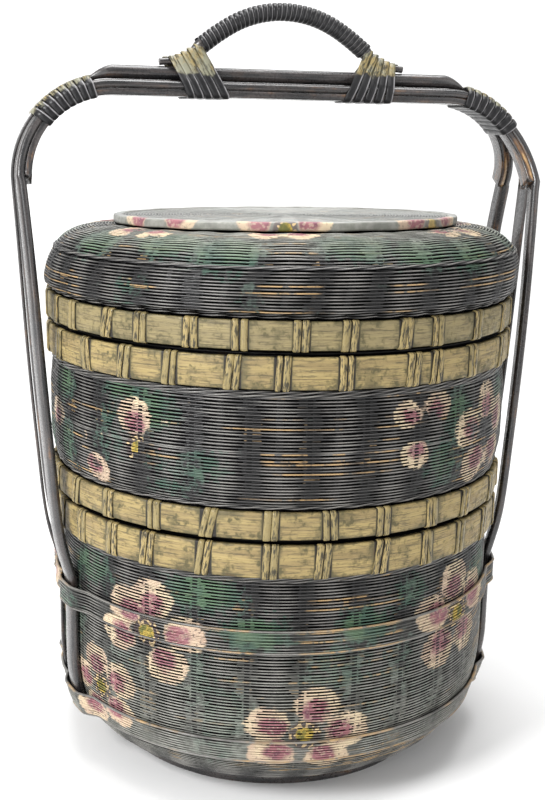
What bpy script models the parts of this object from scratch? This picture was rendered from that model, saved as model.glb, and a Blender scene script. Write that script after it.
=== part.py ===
"""Tiered bamboo food basket: two woven tiers, a domed lid and a carrying bow.

The basket stands on its foot ring at z = 0, +Z up. The handle's plane runs
along X, so the front that faces the viewer looks to -Y. Every length is in
metres. A name that ends in share or shares holds plain ratios.
"""

import bisect
import math

import bmesh
import bpy
import numpy as np
from mathutils import Vector

# Clearance between pieces that touch in the real basket
GAP = 0.0003

# Counts that set how finely round shapes are cut
SEGMENTS = 36
BOWL_STEPS = 6
DOME_STEPS = 5
BAR_STEPS = 2
ARC_STEPS = 10
STRIP_STEPS = 6
RAIL_SIDES = 8
CORE_SIDES = 6
GUIDE_STEPS = 2
GRIP_TURN_POINTS = 8
WRAP_TURN_POINTS = 10
GAP_PROBES = 4
TIE_PROBES = 100

# Foot and floors
FOOT_HEIGHT = 0.0080
FOOT_WIDTH = 0.0085
FOOT_ROUNDING = 0.0022
FOOT_SETBACK = 0.0005
FLOOR_THICKNESS = 0.0026
FLOOR_LEDGE = 0.0140
FLOOR_OVERLAP = 0.0080
BATTEN_WIDTH = 0.0140
BATTEN_THICKNESS = 0.0026
BATTEN_SPACING = 0.0900

# Woven walls
WEAVE_THICKNESS = 0.0026
RIM_RADIUS = 0.1463
LOWER_RIM_INSET = 0.0029
LOWER_BODY_INSET = 0.0004
LOWER_ROUNDING_WIDTH = 0.0370
LOWER_ROUNDING_HEIGHT = 0.0617
LOWER_NECK_DEPTH = 0.0019
LOWER_NECK_HEIGHT = 0.0105
LOWER_TIER_TOP = 0.1727
UPPER_BASE_STEP = 0.0005
UPPER_BODY_SWELL = 0.0024
UPPER_SWELL_HEIGHT = 0.0070
UPPER_SWELL_DRAW = 0.0012
UPPER_TIER_HEIGHT = 0.1077
LID_BODY_SWELL = 0.0067
LID_SWELL_HEIGHT = 0.0045
LID_SWELL_DRAW = 0.0010
LID_WALL_HEIGHT = 0.0330
LID_DOME_HEIGHT = 0.0285
LID_SHOULDER_WIDTH = 0.0412
LID_DISC_HEIGHT = 0.0055
LID_DISC_ROUNDING = 0.0012
LID_TOP_SHELF = 0.0015
LID_TOP_LEDGE = 0.0055
LID_RIDGE_STEP = 1
LID_RIDGE_WIDTH = 0.0034
LID_RIDGE_RISE = 0.0012
LID_RIDGE_PLACE_SHARE = 0.43

# Rim bands of split bamboo, each tied with pairs of cane
BAND_THICKNESS = 0.0034
LOWER_BAND_HEIGHT = 0.0220
UPPER_FOOT_BAND_HEIGHT = 0.0184
UPPER_RIM_BAND_HEIGHT = 0.0206
LID_BAND_HEIGHT = 0.0186
LASHING_WIDTH = 0.0078
LASHING_THICKNESS = 0.0009
LASHING_EDGE = 0.0003
LOWER_RIM_LASHINGS = 28
UPPER_FOOT_LASHINGS = 27
UPPER_RIM_LASHINGS = 28
LID_LASHINGS = 31
LOWER_RIM_PHASE_SHARE = 0.81
UPPER_FOOT_PHASE_SHARE = 0.13
UPPER_RIM_PHASE_SHARE = 0.11
LID_PHASE_SHARE = 0.47

# Inner hoops that stand up above a tier's rim and locate what sits on it
HOOP_THICKNESS = 0.0028
HOOP_LIP_HEIGHT = 0.0080
HOOP_LIP_CLEARANCE = 0.0010
LID_HOOP_THICKNESS = 0.0018
LID_HOOP_HEIGHT = 0.0160

# Handle bows, liners, outer strips and top rail
BOW_WIDTH = 0.0130
BOW_THICKNESS = 0.0050
BOW_CROWN_SHARE = 0.52
BOW_FLANK_SHARE = 0.60
LINER_THICKNESS = 0.0042
LINER_CHAMFER = 0.0008
HANDLE_CLEARANCE = 0.0100
BAR_CLEARANCE = 0.0697
SHOULDER_RADIUS = 0.0575
SHOULDER_SPLAY = 0.0175
LEG_ANGLE = math.radians(15.5)
LEG_END_HEIGHT = 0.0300
STRIP_WIDTH = 0.0140
STRIP_THICKNESS = 0.0020
RAIL_RADIUS = 0.00425
RAIL_END_RADIUS = 0.0012
RAIL_REACH_SHARES = (0.0, 0.45, 0.90)
RAIL_THINNING_SHARES = (0.0, 0.4, 0.8, 1.0, 1.0)

# How far up the leg each guide point lies, how far it has moved from the
# belt's radius to the shoulder's, and its sideways spread against the belt's
LEG_HEIGHT_SHARES = (0.13, 0.33, 0.55, 0.73, 0.88)
LEG_RADIUS_SHARES = (0.35, 0.55, 0.72, 0.83, 0.92)
LEG_SPREAD_SHARES = (1.005, 0.975, 0.925, 0.860, 0.745)

# Arc angles on the shoulder, measured from straight up
SPLAY_START_ANGLE = math.radians(30.0)
RAIL_END_ANGLE = math.radians(17.0)
STRIP_START_ANGLE = math.radians(19.5)
LASHING_START_ANGLE = math.radians(12.0)
LASHING_END_ANGLE = math.radians(50.0)

# Woven belts that hold the legs to the lower tier
BELT_THICKNESS = 0.0024
UPPER_BELT_BOTTOM = 0.1045
UPPER_BELT_HEIGHT = 0.0145
LOWER_BELT_BOTTOM = 0.0330
LOWER_BELT_HEIGHT = 0.0155
BELT_MARGIN = 0.0010
BELT_RAMP = 0.0070
BELT_STEP_SHARE = 0.05

# Grip bow and the windings of cane
GRIP_HALF_SPAN = 0.0790
GRIP_RISE = 0.0325
GRIP_CORE_RADIUS = 0.0021
GRIP_CANE_RADIUS = 0.0016
GRIP_TURNS = 23
GRIP_WRAP_SHARE = 0.67
GRIP_HEIGHT_SHARES = (0.0, 0.05, 0.25, 0.57, 0.81, 0.955, 1.0)
GRIP_REACH_SHARES = (1.0, 0.86, 0.71, 0.53, 0.36, 0.18, 0.0)
SHOULDER_CANE_RADIUS = 0.0015
SHOULDER_TURNS = 8
TIE_CANE_RADIUS = 0.0013
TIE_TURNS = 4
TIE_SETBACK = 0.0035
TIE_TOP_PITCH = 0.0038
TIE_SLANT = 0.0115
TIE_BOTTOM_PITCH = 0.0070
TIE_SLANT_START_SHARE = 0.05
TIE_SLANT_FLANK_SHARE = 0.75

# Colours: red, green, blue, roughness
WEAVE_DARK = (0.030, 0.030, 0.032, 0.45)
WEAVE_UNDER = (0.060, 0.045, 0.030, 0.60)
BAND_GOLD = (0.400, 0.330, 0.150, 0.50)
CANE_BLACK = (0.025, 0.022, 0.024, 0.30)
CANE_BROWN = (0.070, 0.045, 0.028, 0.35)
CANE_OLIVE = (0.220, 0.190, 0.090, 0.45)
SHARP_ANGLE = math.radians(35.0)
QUARTER_TURN = math.pi / 2.0


def clear_scene():
    """Remove whatever the opened file holds."""
    for old in list(bpy.data.objects):
        bpy.data.objects.remove(old, do_unlink=True)


def material(name, colour):
    """Return a plain Principled material with the piece's own colour."""
    made = bpy.data.materials.new(name)
    made.use_nodes = True
    shader = made.node_tree.nodes["Principled BSDF"]
    red, green, blue, roughness = colour
    shader.inputs["Base Color"].default_value = (red, green, blue, 1.0)
    shader.inputs["Roughness"].default_value = roughness
    shader.inputs["Metallic"].default_value = 0.0
    return made


def place(name, mesh, colour, parent):
    """Link a mesh as a named object with its own material."""
    mesh.shade_smooth()
    mesh.set_sharp_from_angle(angle=SHARP_ANGLE)
    piece = bpy.data.objects.new(name, mesh)
    bpy.context.collection.objects.link(piece)
    mesh.materials.append(material(name + "_material", colour))
    piece.parent = parent
    return piece


def mesh_from(bm, name):
    """Close a bmesh, turn its faces outwards and return it as a mesh."""
    bmesh.ops.recalc_face_normals(bm, faces=bm.faces)
    mesh = bpy.data.meshes.new(name)
    bm.to_mesh(mesh)
    bm.free()
    return mesh


def turned(name, outline, colour, parent):
    """Spin a closed outline of (radius, height) points round Z."""
    bm = bmesh.new()
    ring = [bm.verts.new((radius, 0.0, height)) for radius, height in outline]
    for first, second in zip(ring, ring[1:] + ring[:1]):
        bm.edges.new((first, second))
    bmesh.ops.spin(bm, geom=bm.verts[:] + bm.edges[:], cent=(0.0, 0.0, 0.0),
                   axis=(0.0, 0.0, 1.0), angle=math.tau, steps=SEGMENTS,
                   use_merge=True)
    return place(name, mesh_from(bm, name), colour, parent)


def disc(name, radius, bottom, top, rounding, colour, parent):
    """Make a round plate whose upper edge is rounded off."""
    bm = bmesh.new()
    bmesh.ops.create_circle(bm, cap_ends=True, segments=SEGMENTS, radius=radius)
    for vert in bm.verts:
        vert.co.z = bottom
    grown = bmesh.ops.extrude_face_region(bm, geom=bm.faces[:], use_keep_orig=True)
    raised = [item for item in grown["geom"] if isinstance(item, bmesh.types.BMVert)]
    rise = Vector((0.0, 0.0, top - bottom))
    bmesh.ops.translate(bm, vec=rise, verts=raised)
    if rounding > 0.0:
        rim = [edge for edge in bm.edges if all(vert in raised for vert in edge.verts)]
        bmesh.ops.bevel(bm, geom=rim, offset=rounding, segments=1, affect="EDGES")
    return place(name, mesh_from(bm, name), colour, parent)


def loft(name, sections, closed, colour, parent):
    """Skin a row of like outlines, joined end to end or capped.

    Each four-sided patch is split along its shorter diagonal, so two strips
    that twist side by side fold alike and keep their clearance.
    """
    bm = bmesh.new()
    rings = [[bm.verts.new(point) for point in section] for section in sections]
    pairs = list(zip(rings, rings[1:]))
    if closed:
        pairs.append((rings[-1], rings[0]))
    else:
        bm.faces.new(list(reversed(rings[0])))
        bm.faces.new(rings[-1])
    for near, far in pairs:
        count = len(near)
        for index in range(count):
            after = (index + 1) % count
            bm.faces.new((near[index], near[after], far[after], far[index]))
    bmesh.ops.triangulate(bm, faces=bm.faces[:], quad_method="SHORT_EDGE")
    return place(name, mesh_from(bm, name), colour, parent)


def wound_cane(name, points, radius, turn_points, colour, parent):
    """Make one unbroken cane along its points and print its own least gap."""
    curve = bpy.data.curves.new(name, "CURVE")
    curve.dimensions = "3D"
    curve.bevel_depth = radius
    curve.bevel_resolution = 1
    curve.use_fill_caps = True
    spline = curve.splines.new("POLY")
    spline.points.add(len(points) - 1)
    for item, point in zip(spline.points, points):
        item.co = (point[0], point[1], point[2], 1.0)
    curve.materials.append(material(name + "_material", colour))
    piece = bpy.data.objects.new(name, curve)
    bpy.context.collection.objects.link(piece)
    piece.parent = parent
    gap = least_winding_gap(points, radius, turn_points)
    print("least gap of", name, "to itself in metres:", round(gap, 6))
    return piece


def least_winding_gap(points, radius, turn_points):
    """Return the least air between two turns of a winding."""
    path = np.array(points)
    steps = np.linspace(0.0, 1.0, GAP_PROBES + 1)[:-1, None]
    dense = np.concatenate([near + (far - near) * steps
                            for near, far in zip(path[:-1], path[1:])])
    apart = turn_points * len(steps) // 2
    distances = np.linalg.norm(dense[:, None, :] - dense[None, :, :], axis=2)
    order = np.arange(len(dense))
    other_turn = np.abs(order[:, None] - order[None, :]) >= apart
    return float(distances[other_turn].min()) - radius * 2.0


def smooth_through(points, steps):
    """Return a smooth curve that passes through the given points."""
    before = points[0] * 2.0 - points[1]
    beyond = points[-1] * 2.0 - points[-2]
    guide = [before] + list(points) + [beyond]
    curve = []
    for first, second, third, fourth in zip(guide, guide[1:], guide[2:], guide[3:]):
        for step in range(steps):
            part = step / steps
            pull = (third - first) * part
            bend = (first * 2.0 - second * 5.0 + third * 4.0 - fourth) * part ** 2
            turn = (second * 3.0 - first - third * 3.0 + fourth) * part ** 3
            curve.append((second * 2.0 + pull + bend + turn) / 2.0)
    curve.append(points[-1])
    return curve


def offset_outline(points, distance):
    """Move an open outline sideways by a distance, with mitred corners.

    A positive distance moves it to the right of its direction of travel.
    """
    sides = []
    for (r0, z0), (r1, z1) in zip(points, points[1:]):
        length = math.hypot(r1 - r0, z1 - z0)
        sides.append(((z1 - z0) / length, (r0 - r1) / length))
    moved = []
    for index, (radius, height) in enumerate(points):
        before = sides[max(index - 1, 0)]
        after = sides[min(index, len(sides) - 1)]
        mean_r = before[0] + after[0]
        mean_z = before[1] + after[1]
        scale = 2.0 * distance / (mean_r ** 2 + mean_z ** 2)
        moved.append((radius + mean_r * scale, height + mean_z * scale))
    return moved


def shell(outer):
    """Close an outer outline into a wall of the weave's thickness."""
    inner = offset_outline(outer, -WEAVE_THICKNESS)
    return outer + inner[::-1]


def radius_at(outline, height):
    """Read an outline's radius at a height, where it climbs."""
    for (r0, z0), (r1, z1) in zip(outline, outline[1:]):
        if z0 <= height <= z1 and z1 > z0:
            return r0 + (r1 - r0) * (height - z0) / (z1 - z0)
    raise ValueError("the height lies off the outline")


def outline_between(outline, bottom, top):
    """Cut the stretch of an outline that lies between two heights."""
    inside = [point for point in outline if bottom < point[1] < top]
    start = (radius_at(outline, bottom), bottom)
    end = (radius_at(outline, top), top)
    return [start] + inside + [end]


def around(radius, height, angle):
    """Place a point by radius, height and angle about Z."""
    return Vector((radius * math.cos(angle), radius * math.sin(angle), height))


# Radii that follow from the rim's
LOWER_RIM_RADIUS = RIM_RADIUS - LOWER_RIM_INSET
LOWER_BODY_RADIUS = LOWER_RIM_RADIUS - LOWER_BODY_INSET
BASE_RADIUS = LOWER_BODY_RADIUS - LOWER_ROUNDING_WIDTH
UPPER_BASE_RADIUS = LOWER_RIM_RADIUS + UPPER_BASE_STEP
UPPER_BODY_RADIUS = RIM_RADIUS + UPPER_BODY_SWELL
LID_BODY_RADIUS = RIM_RADIUS + LID_BODY_SWELL
LID_DISC_RADIUS = LID_BODY_RADIUS - LID_SHOULDER_WIDTH

# Heights that stack from the foot to the bar
FLOOR_LEVEL = FOOT_HEIGHT + GAP
LOWER_BAND_BOTTOM = LOWER_TIER_TOP - LOWER_BAND_HEIGHT
UPPER_BOTTOM = LOWER_TIER_TOP + GAP
UPPER_TOP = UPPER_BOTTOM + UPPER_TIER_HEIGHT
UPPER_BAND_TOP = UPPER_BOTTOM + UPPER_FOOT_BAND_HEIGHT
UPPER_RIM_BOTTOM = UPPER_TOP - UPPER_RIM_BAND_HEIGHT
LID_BOTTOM = UPPER_TOP + GAP
LID_BAND_TOP = LID_BOTTOM + LID_BAND_HEIGHT
LID_DOME_START = LID_BOTTOM + LID_WALL_HEIGHT
LID_TOP = LID_DOME_START + LID_DOME_HEIGHT
DISC_BOTTOM = LID_TOP + GAP
DISC_TOP = DISC_BOTTOM + LID_DISC_HEIGHT
BAR_HEIGHT = DISC_TOP + BAR_CLEARANCE + LINER_THICKNESS + GAP + BOW_THICKNESS / 2.0


def quarter_steps(count):
    """Return the sine and cosine of even steps through a quarter turn."""
    angles = [QUARTER_TURN * step / count for step in range(count + 1)]
    return [(math.sin(angle), math.cos(angle)) for angle in angles]


def lower_outline():
    """Outer outline of the lower tier: a rounded bowl, a neck and a flared rim."""
    outline = [(BASE_RADIUS - FLOOR_LEDGE, FLOOR_LEVEL)]
    for sine, cosine in quarter_steps(BOWL_STEPS):
        radius = BASE_RADIUS + (LOWER_BODY_RADIUS - BASE_RADIUS) * sine
        height = FLOOR_LEVEL + LOWER_ROUNDING_HEIGHT * (1.0 - cosine)
        outline.append((radius, height))
    neck_radius = LOWER_RIM_RADIUS - LOWER_NECK_DEPTH
    outline.append((LOWER_BODY_RADIUS, LOWER_BAND_BOTTOM - LOWER_NECK_HEIGHT))
    outline.append((neck_radius, LOWER_BAND_BOTTOM))
    outline.append((LOWER_RIM_RADIUS, LOWER_TIER_TOP))
    return outline


def upper_outline():
    """Outer outline of the upper tier: it swells between its two bands."""
    swell = UPPER_BODY_RADIUS - UPPER_SWELL_DRAW
    middle = (UPPER_BAND_TOP + UPPER_RIM_BOTTOM) / 2.0
    return [
        (UPPER_BASE_RADIUS, UPPER_BOTTOM),
        (UPPER_BASE_RADIUS, UPPER_BAND_TOP),
        (swell, UPPER_BAND_TOP + UPPER_SWELL_HEIGHT),
        (UPPER_BODY_RADIUS, middle),
        (swell, UPPER_RIM_BOTTOM - UPPER_SWELL_HEIGHT),
        (RIM_RADIUS, UPPER_RIM_BOTTOM),
        (RIM_RADIUS, UPPER_TOP),
    ]


def lid_outline():
    """Outer outline of the lid: a swelling wall, then a quarter-round dome."""
    edge_radius = LID_DISC_RADIUS + LID_TOP_SHELF
    outline = [
        (RIM_RADIUS, LID_BOTTOM),
        (RIM_RADIUS, LID_BAND_TOP),
        (LID_BODY_RADIUS - LID_SWELL_DRAW, LID_BAND_TOP + LID_SWELL_HEIGHT),
    ]
    for sine, cosine in quarter_steps(DOME_STEPS):
        radius = edge_radius + (LID_BODY_RADIUS - edge_radius) * cosine
        outline.append((radius, LID_DOME_START + LID_DOME_HEIGHT * sine))
    outline.append((LID_DISC_RADIUS - LID_TOP_LEDGE, LID_TOP))
    return outline


def add_ridge(outline):
    """Add the raised twined row that runs round the dome, on one of its steps."""
    first = len(outline) - 2 - DOME_STEPS + LID_RIDGE_STEP
    start = outline[first]
    end = outline[first + 1]
    run = math.dist(start, end)
    along = ((end[0] - start[0]) / run, (end[1] - start[1]) / run)
    half = LID_RIDGE_WIDTH / 2.0
    ridge = []
    for away, rise in ((-half, 0.0), (0.0, LID_RIDGE_RISE), (half, 0.0)):
        reach = run * LID_RIDGE_PLACE_SHARE + away
        radius = start[0] + along[0] * reach + along[1] * rise
        height = start[1] + along[1] * reach - along[0] * rise
        ridge.append((radius, height))
    return outline[:first + 1] + ridge + outline[first + 1:]


def lid_shell():
    """Close the lid's outline into a wall with a level edge under the disc."""
    outer = lid_outline()
    inner = offset_outline(outer, -WEAVE_THICKNESS)
    inner[0] = (inner[0][0], LID_BOTTOM)
    inner[-1] = (outer[-1][0], LID_TOP - WEAVE_THICKNESS)
    return add_ridge(outer) + inner[::-1]


def lower_shell():
    """Close the lower outline into a wall that turns in under the floor."""
    outer = lower_outline()
    inner = offset_outline(outer, -WEAVE_THICKNESS)
    inner[0] = (outer[0][0], FLOOR_LEVEL + WEAVE_THICKNESS)
    inner[-1] = (inner[-1][0], LOWER_TIER_TOP)
    return outer + inner[::-1]


def band_stations(count, phase_share):
    """Return the angles round a band, each with its lashing's height share."""
    pitch = math.tau / count
    radius = RIM_RADIUS
    half = LASHING_WIDTH / radius / 2.0
    edge = LASHING_EDGE / radius
    stations = []
    for index in range(count):
        centre = (index + phase_share) * pitch
        stations.append((centre - half, 0.0))
        stations.append((centre - half + edge, 1.0))
        stations.append((centre + half - edge, 1.0))
        stations.append((centre + half, 0.0))
        stations.append((centre + pitch / 2.0, 0.0))
    return stations


def rim_band(name, span, wall_radii, lashings, parent):
    """Make a hoop of split bamboo outside a wall, with its raised lashings.

    span holds the lower and upper height, wall_radii the wall's radius at
    each, and lashings their count and the first one's share of the pitch.
    """
    bottom, top = span
    stations = band_stations(*lashings)
    angles = [angle for angle, share in stations]
    widest = max(second - first for first, second in zip(angles, angles[1:]))
    clear = 1.0 / math.cos(widest / 2.0)
    low_radius = (wall_radii[0] + GAP) * clear
    high_radius = (wall_radii[1] + GAP) * clear
    sections = []
    for angle, share in stations:
        outward = BAND_THICKNESS + LASHING_THICKNESS * share
        sections.append([
            around(low_radius, bottom, angle),
            around(low_radius + outward, bottom, angle),
            around(high_radius + outward, top, angle),
            around(high_radius, top, angle),
        ])
    return loft(name, sections, True, BAND_GOLD, parent)


def band_outer_radius(wall_radius):
    """Radius over a band's lashings, for what has to stay clear of it."""
    return wall_radius + GAP * 2.0 + BAND_THICKNESS + LASHING_THICKNESS


WIDEST_RADIUS = max(
    LID_BODY_RADIUS,
    UPPER_BODY_RADIUS,
    LOWER_BODY_RADIUS + BOW_THICKNESS,
    band_outer_radius(RIM_RADIUS),
    band_outer_radius(UPPER_BASE_RADIUS),
)
BOW_HALF_SPAN = WIDEST_RADIUS + HANDLE_CLEARANCE + BOW_THICKNESS / 2.0
SHOULDER_X = BOW_HALF_SPAN - SHOULDER_RADIUS
SHOULDER_Z = BAR_HEIGHT - SHOULDER_RADIUS
BELT_TOP = UPPER_BELT_BOTTOM + UPPER_BELT_HEIGHT
SHOULDER_END = BAR_STEPS + ARC_STEPS
BAR_SIDE = BOW_WIDTH / 2.0 + GAP / 2.0


def leg_guides(lower_radius, upper_radius):
    """Heights and radii between the upper belt and the shoulder."""
    guides = []
    for height_share, radius_share in zip(LEG_HEIGHT_SHARES, LEG_RADIUS_SHARES):
        height = BELT_TOP + (SHOULDER_Z - BELT_TOP) * height_share
        radius = lower_radius + (upper_radius - lower_radius) * radius_share
        guides.append((radius, height))
    return guides


def seated_outline(offset):
    """Path down the lower wall for a strip that lies flat on it."""
    outline = lower_outline()
    stretch = outline_between(outline, LEG_END_HEIGHT, BELT_TOP)
    return offset_outline(stretch, offset)[::-1]


def shoulder_spread(angle):
    """How far a bow's centre stands from the handle's plane on the shoulder."""
    share = (angle - SPLAY_START_ANGLE) / (QUARTER_TURN - SPLAY_START_ANGLE)
    return BAR_SIDE + SHOULDER_SPLAY * max(0.0, share) ** 2


def bow_half_path(side):
    """Centre line and outward normals of one half of a bow, from bar to foot.

    side is +1 for the rear bow and -1 for the front one. The half lies at +X.
    """
    points = []
    normals = []
    for step in range(BAR_STEPS + 1):
        reach = SHOULDER_X * step / BAR_STEPS
        points.append(Vector((reach, side * BAR_SIDE, BAR_HEIGHT)))
        normals.append(Vector((0.0, 0.0, 1.0)))
    for step in range(1, ARC_STEPS + 1):
        angle = QUARTER_TURN * step / ARC_STEPS
        out = Vector((math.sin(angle), 0.0, math.cos(angle)))
        centre = Vector((SHOULDER_X, side * shoulder_spread(angle), SHOULDER_Z))
        points.append(centre + out * SHOULDER_RADIUS)
        normals.append(out)
    seat = seated_outline(GAP + BOW_THICKNESS / 2.0)
    top_radius = math.hypot(BOW_HALF_SPAN, shoulder_spread(QUARTER_TURN))
    belt_spread = seat[0][0] * math.sin(LEG_ANGLE)
    guides = leg_guides(seat[0][0], top_radius)
    controls = [points[-1]]
    for (radius, height), spread_share in zip(guides[::-1], LEG_SPREAD_SHARES[::-1]):
        spread = belt_spread * spread_share
        across = math.sqrt(radius ** 2 - spread ** 2)
        controls.append(Vector((across, side * spread, height)))
    controls.append(around(seat[0][0], seat[0][1], side * LEG_ANGLE))
    for point in smooth_through(controls, GUIDE_STEPS)[1:-1]:
        points.append(point)
        normals.append(Vector((point.x, point.y, 0.0)).normalized())
    for radius, height in seat:
        points.append(around(radius, height, side * LEG_ANGLE))
        normals.append(around(1.0, 0.0, side * LEG_ANGLE))
    return points, normals


def mirrored(points, normals):
    """Join a half path with its mirror image across X = 0."""
    flip = Vector((-1.0, 1.0, 1.0))
    left = [point * flip for point in points[:0:-1]]
    left_normals = [normal * flip for normal in normals[:0:-1]]
    return left + points, left_normals + normals


def frames(points, normals):
    """Return the sideways and outward axes at each point of a path."""
    axes = []
    last = len(points) - 1
    for index, normal in enumerate(normals):
        ahead = points[min(index + 1, last)] - points[index]
        behind = points[index] - points[max(index - 1, 0)]
        along = (ahead.normalized() + behind.normalized()).normalized()
        outward = (normal - along * normal.dot(along)).normalized()
        axes.append((along.cross(outward), outward))
    return axes


def strip(name, points, axes, outline, colour, parent):
    """Carry a strip's cross-section along a path, turned by the path's axes."""
    sections = []
    for point, (sideways, outward) in zip(points, axes):
        sections.append([point + sideways * across + outward * depth
                         for across, depth in outline])
    return loft(name, sections, False, colour, parent)


def split_cane(width, thickness, crown_share, flank_share):
    """Cross-section of split bamboo: a flat inside and a rounded outside."""
    half = width / 2.0
    crown = half * crown_share
    bottom = -thickness / 2.0
    flank = bottom + thickness * flank_share
    top = thickness / 2.0
    return [(-half, bottom), (half, bottom), (half, flank),
            (crown, top), (-crown, top), (-half, flank)]


def make_bows(parent):
    """Front and rear bows, each one strip from belt to belt over the bar."""
    outline = split_cane(BOW_WIDTH, BOW_THICKNESS, BOW_CROWN_SHARE, BOW_FLANK_SHARE)
    for name, side in (("front_bow", -1.0), ("rear_bow", 1.0)):
        points, normals = mirrored(*bow_half_path(side))
        strip(name, points, frames(points, normals), outline, CANE_BLACK, parent)


def make_liners(parent):
    """Inner strips under the bar and shoulders, cut off below the shoulders."""
    half = BOW_WIDTH / 2.0
    top = -BOW_THICKNESS / 2.0 - GAP
    bottom = top - LINER_THICKNESS
    low = bottom + LINER_CHAMFER
    inset = half - LINER_CHAMFER
    outline = [(-inset, bottom), (inset, bottom), (half, low),
               (half, top), (-half, top), (-half, low)]
    for name, side in (("front_liner", -1.0), ("rear_liner", 1.0)):
        points, normals = mirrored(*bow_half_path(side))
        axes = frames(points, normals)
        middle = len(points) // 2
        first = middle - SHOULDER_END
        last = middle + SHOULDER_END + 1
        strip(name, points[first:last], axes[first:last], outline, CANE_BROWN, parent)


def make_outer_strips(parent):
    """Thin strips over the seam of the bows, down to the belts."""
    outline = [(-STRIP_WIDTH / 2.0, -STRIP_THICKNESS / 2.0),
               (STRIP_WIDTH / 2.0, -STRIP_THICKNESS / 2.0),
               (STRIP_WIDTH / 2.0, STRIP_THICKNESS / 2.0),
               (-STRIP_WIDTH / 2.0, STRIP_THICKNESS / 2.0)]
    reach = SHOULDER_RADIUS + BOW_THICKNESS / 2.0 + GAP + STRIP_THICKNESS / 2.0
    points = []
    normals = []
    for step in range(STRIP_STEPS + 1):
        share = step / STRIP_STEPS
        angle = STRIP_START_ANGLE + (QUARTER_TURN - STRIP_START_ANGLE) * share
        out = Vector((math.sin(angle), 0.0, math.cos(angle)))
        points.append(Vector((SHOULDER_X, 0.0, SHOULDER_Z)) + out * reach)
        normals.append(out)
    seat = seated_outline(GAP + STRIP_THICKNESS / 2.0)
    controls = [points[-1]]
    for radius, height in leg_guides(seat[0][0], SHOULDER_X + reach)[::-1]:
        controls.append(Vector((radius, 0.0, height)))
    controls.append(Vector((seat[0][0], 0.0, seat[0][1])))
    for point in smooth_through(controls, GUIDE_STEPS)[1:-1]:
        points.append(point)
        normals.append(Vector((1.0, 0.0, 0.0)))
    for radius, height in seat:
        points.append(Vector((radius, 0.0, height)))
        normals.append(Vector((1.0, 0.0, 0.0)))
    for name, side in (("left_outer_strip", -1.0), ("right_outer_strip", 1.0)):
        flip = Vector((side, 1.0, 1.0))
        path = [point * flip for point in points]
        axes = frames(path, [normal * flip for normal in normals])
        strip(name, path, axes, outline, CANE_BLACK, parent)


def make_top_rail(parent):
    """Round cane along the top of the bar, thinned where it is tied down."""
    seat = BOW_THICKNESS / 2.0 + GAP
    points = []
    normals = []
    radii = []
    for share in RAIL_REACH_SHARES:
        points.append(Vector((SHOULDER_X * share, 0.0, BAR_HEIGHT + seat + RAIL_RADIUS)))
        normals.append(Vector((0.0, 0.0, 1.0)))
        radii.append(RAIL_RADIUS)
    last = len(RAIL_THINNING_SHARES) - 1
    for step, thinned in enumerate(RAIL_THINNING_SHARES):
        angle = RAIL_END_ANGLE * step / last
        radius = RAIL_RADIUS + (RAIL_END_RADIUS - RAIL_RADIUS) * thinned
        out = Vector((math.sin(angle), 0.0, math.cos(angle)))
        points.append(Vector((SHOULDER_X, 0.0, SHOULDER_Z))
                      + out * (SHOULDER_RADIUS + seat + radius))
        normals.append(out)
        radii.append(radius)
    points, normals = mirrored(points, normals)
    radii = radii[:0:-1] + radii
    sections = []
    turns = [math.tau * (index + 0.5) / RAIL_SIDES for index in range(RAIL_SIDES)]
    for point, radius, (sideways, outward) in zip(points, radii, frames(points, normals)):
        sections.append([point + sideways * (radius * math.cos(turn))
                         + outward * (radius * math.sin(turn)) for turn in turns])
    loft("top_rail", sections, False, CANE_BLACK, parent)


def belt_height(angle, bumps):
    """How far a belt is lifted off the wall at an angle by what it covers."""
    lift = 0.0
    for centre, flat, ramp, rise in bumps:
        away = abs(math.remainder(angle - centre, math.tau))
        share = min(1.0, max(0.0, (flat + ramp - away) / ramp))
        lift = max(lift, rise * share)
    return lift


def make_belt(name, bottom, height, parent):
    """Woven belt that runs round the lower tier outside the legs and strips."""
    stretch = outline_between(lower_outline(), bottom, bottom + height)
    ramp = BELT_RAMP / LOWER_BODY_RADIUS
    leg_flat = (BOW_WIDTH / 2.0 + BELT_MARGIN) / LOWER_BODY_RADIUS
    strip_flat = (STRIP_WIDTH / 2.0 + BELT_MARGIN) / LOWER_BODY_RADIUS
    bumps = [(turn, leg_flat, ramp, BOW_THICKNESS + GAP)
             for turn in (LEG_ANGLE, -LEG_ANGLE, math.pi - LEG_ANGLE, math.pi + LEG_ANGLE)]
    bumps += [(turn, strip_flat, ramp, STRIP_THICKNESS + GAP) for turn in (0.0, math.pi)]
    angles = [math.tau * index / SEGMENTS for index in range(SEGMENTS)]
    for centre, flat, slope, rise in bumps:
        for turn in (-flat - slope, -flat, 0.0, flat, flat + slope):
            angle = (centre + turn) % math.tau
            spot = bisect.bisect(angles, angle)
            near = min(abs(angle - other) for other in angles)
            if near > ramp * BELT_STEP_SHARE:
                angles.insert(spot, angle)
    sections = []
    for angle in angles:
        lift = GAP + belt_height(angle, bumps)
        inner = offset_outline(stretch, lift)
        outer = offset_outline(stretch, lift + BELT_THICKNESS)
        sections.append([around(radius, level, angle)
                         for radius, level in inner + outer[::-1]])
    loft(name, sections, True, WEAVE_DARK, parent)


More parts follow.
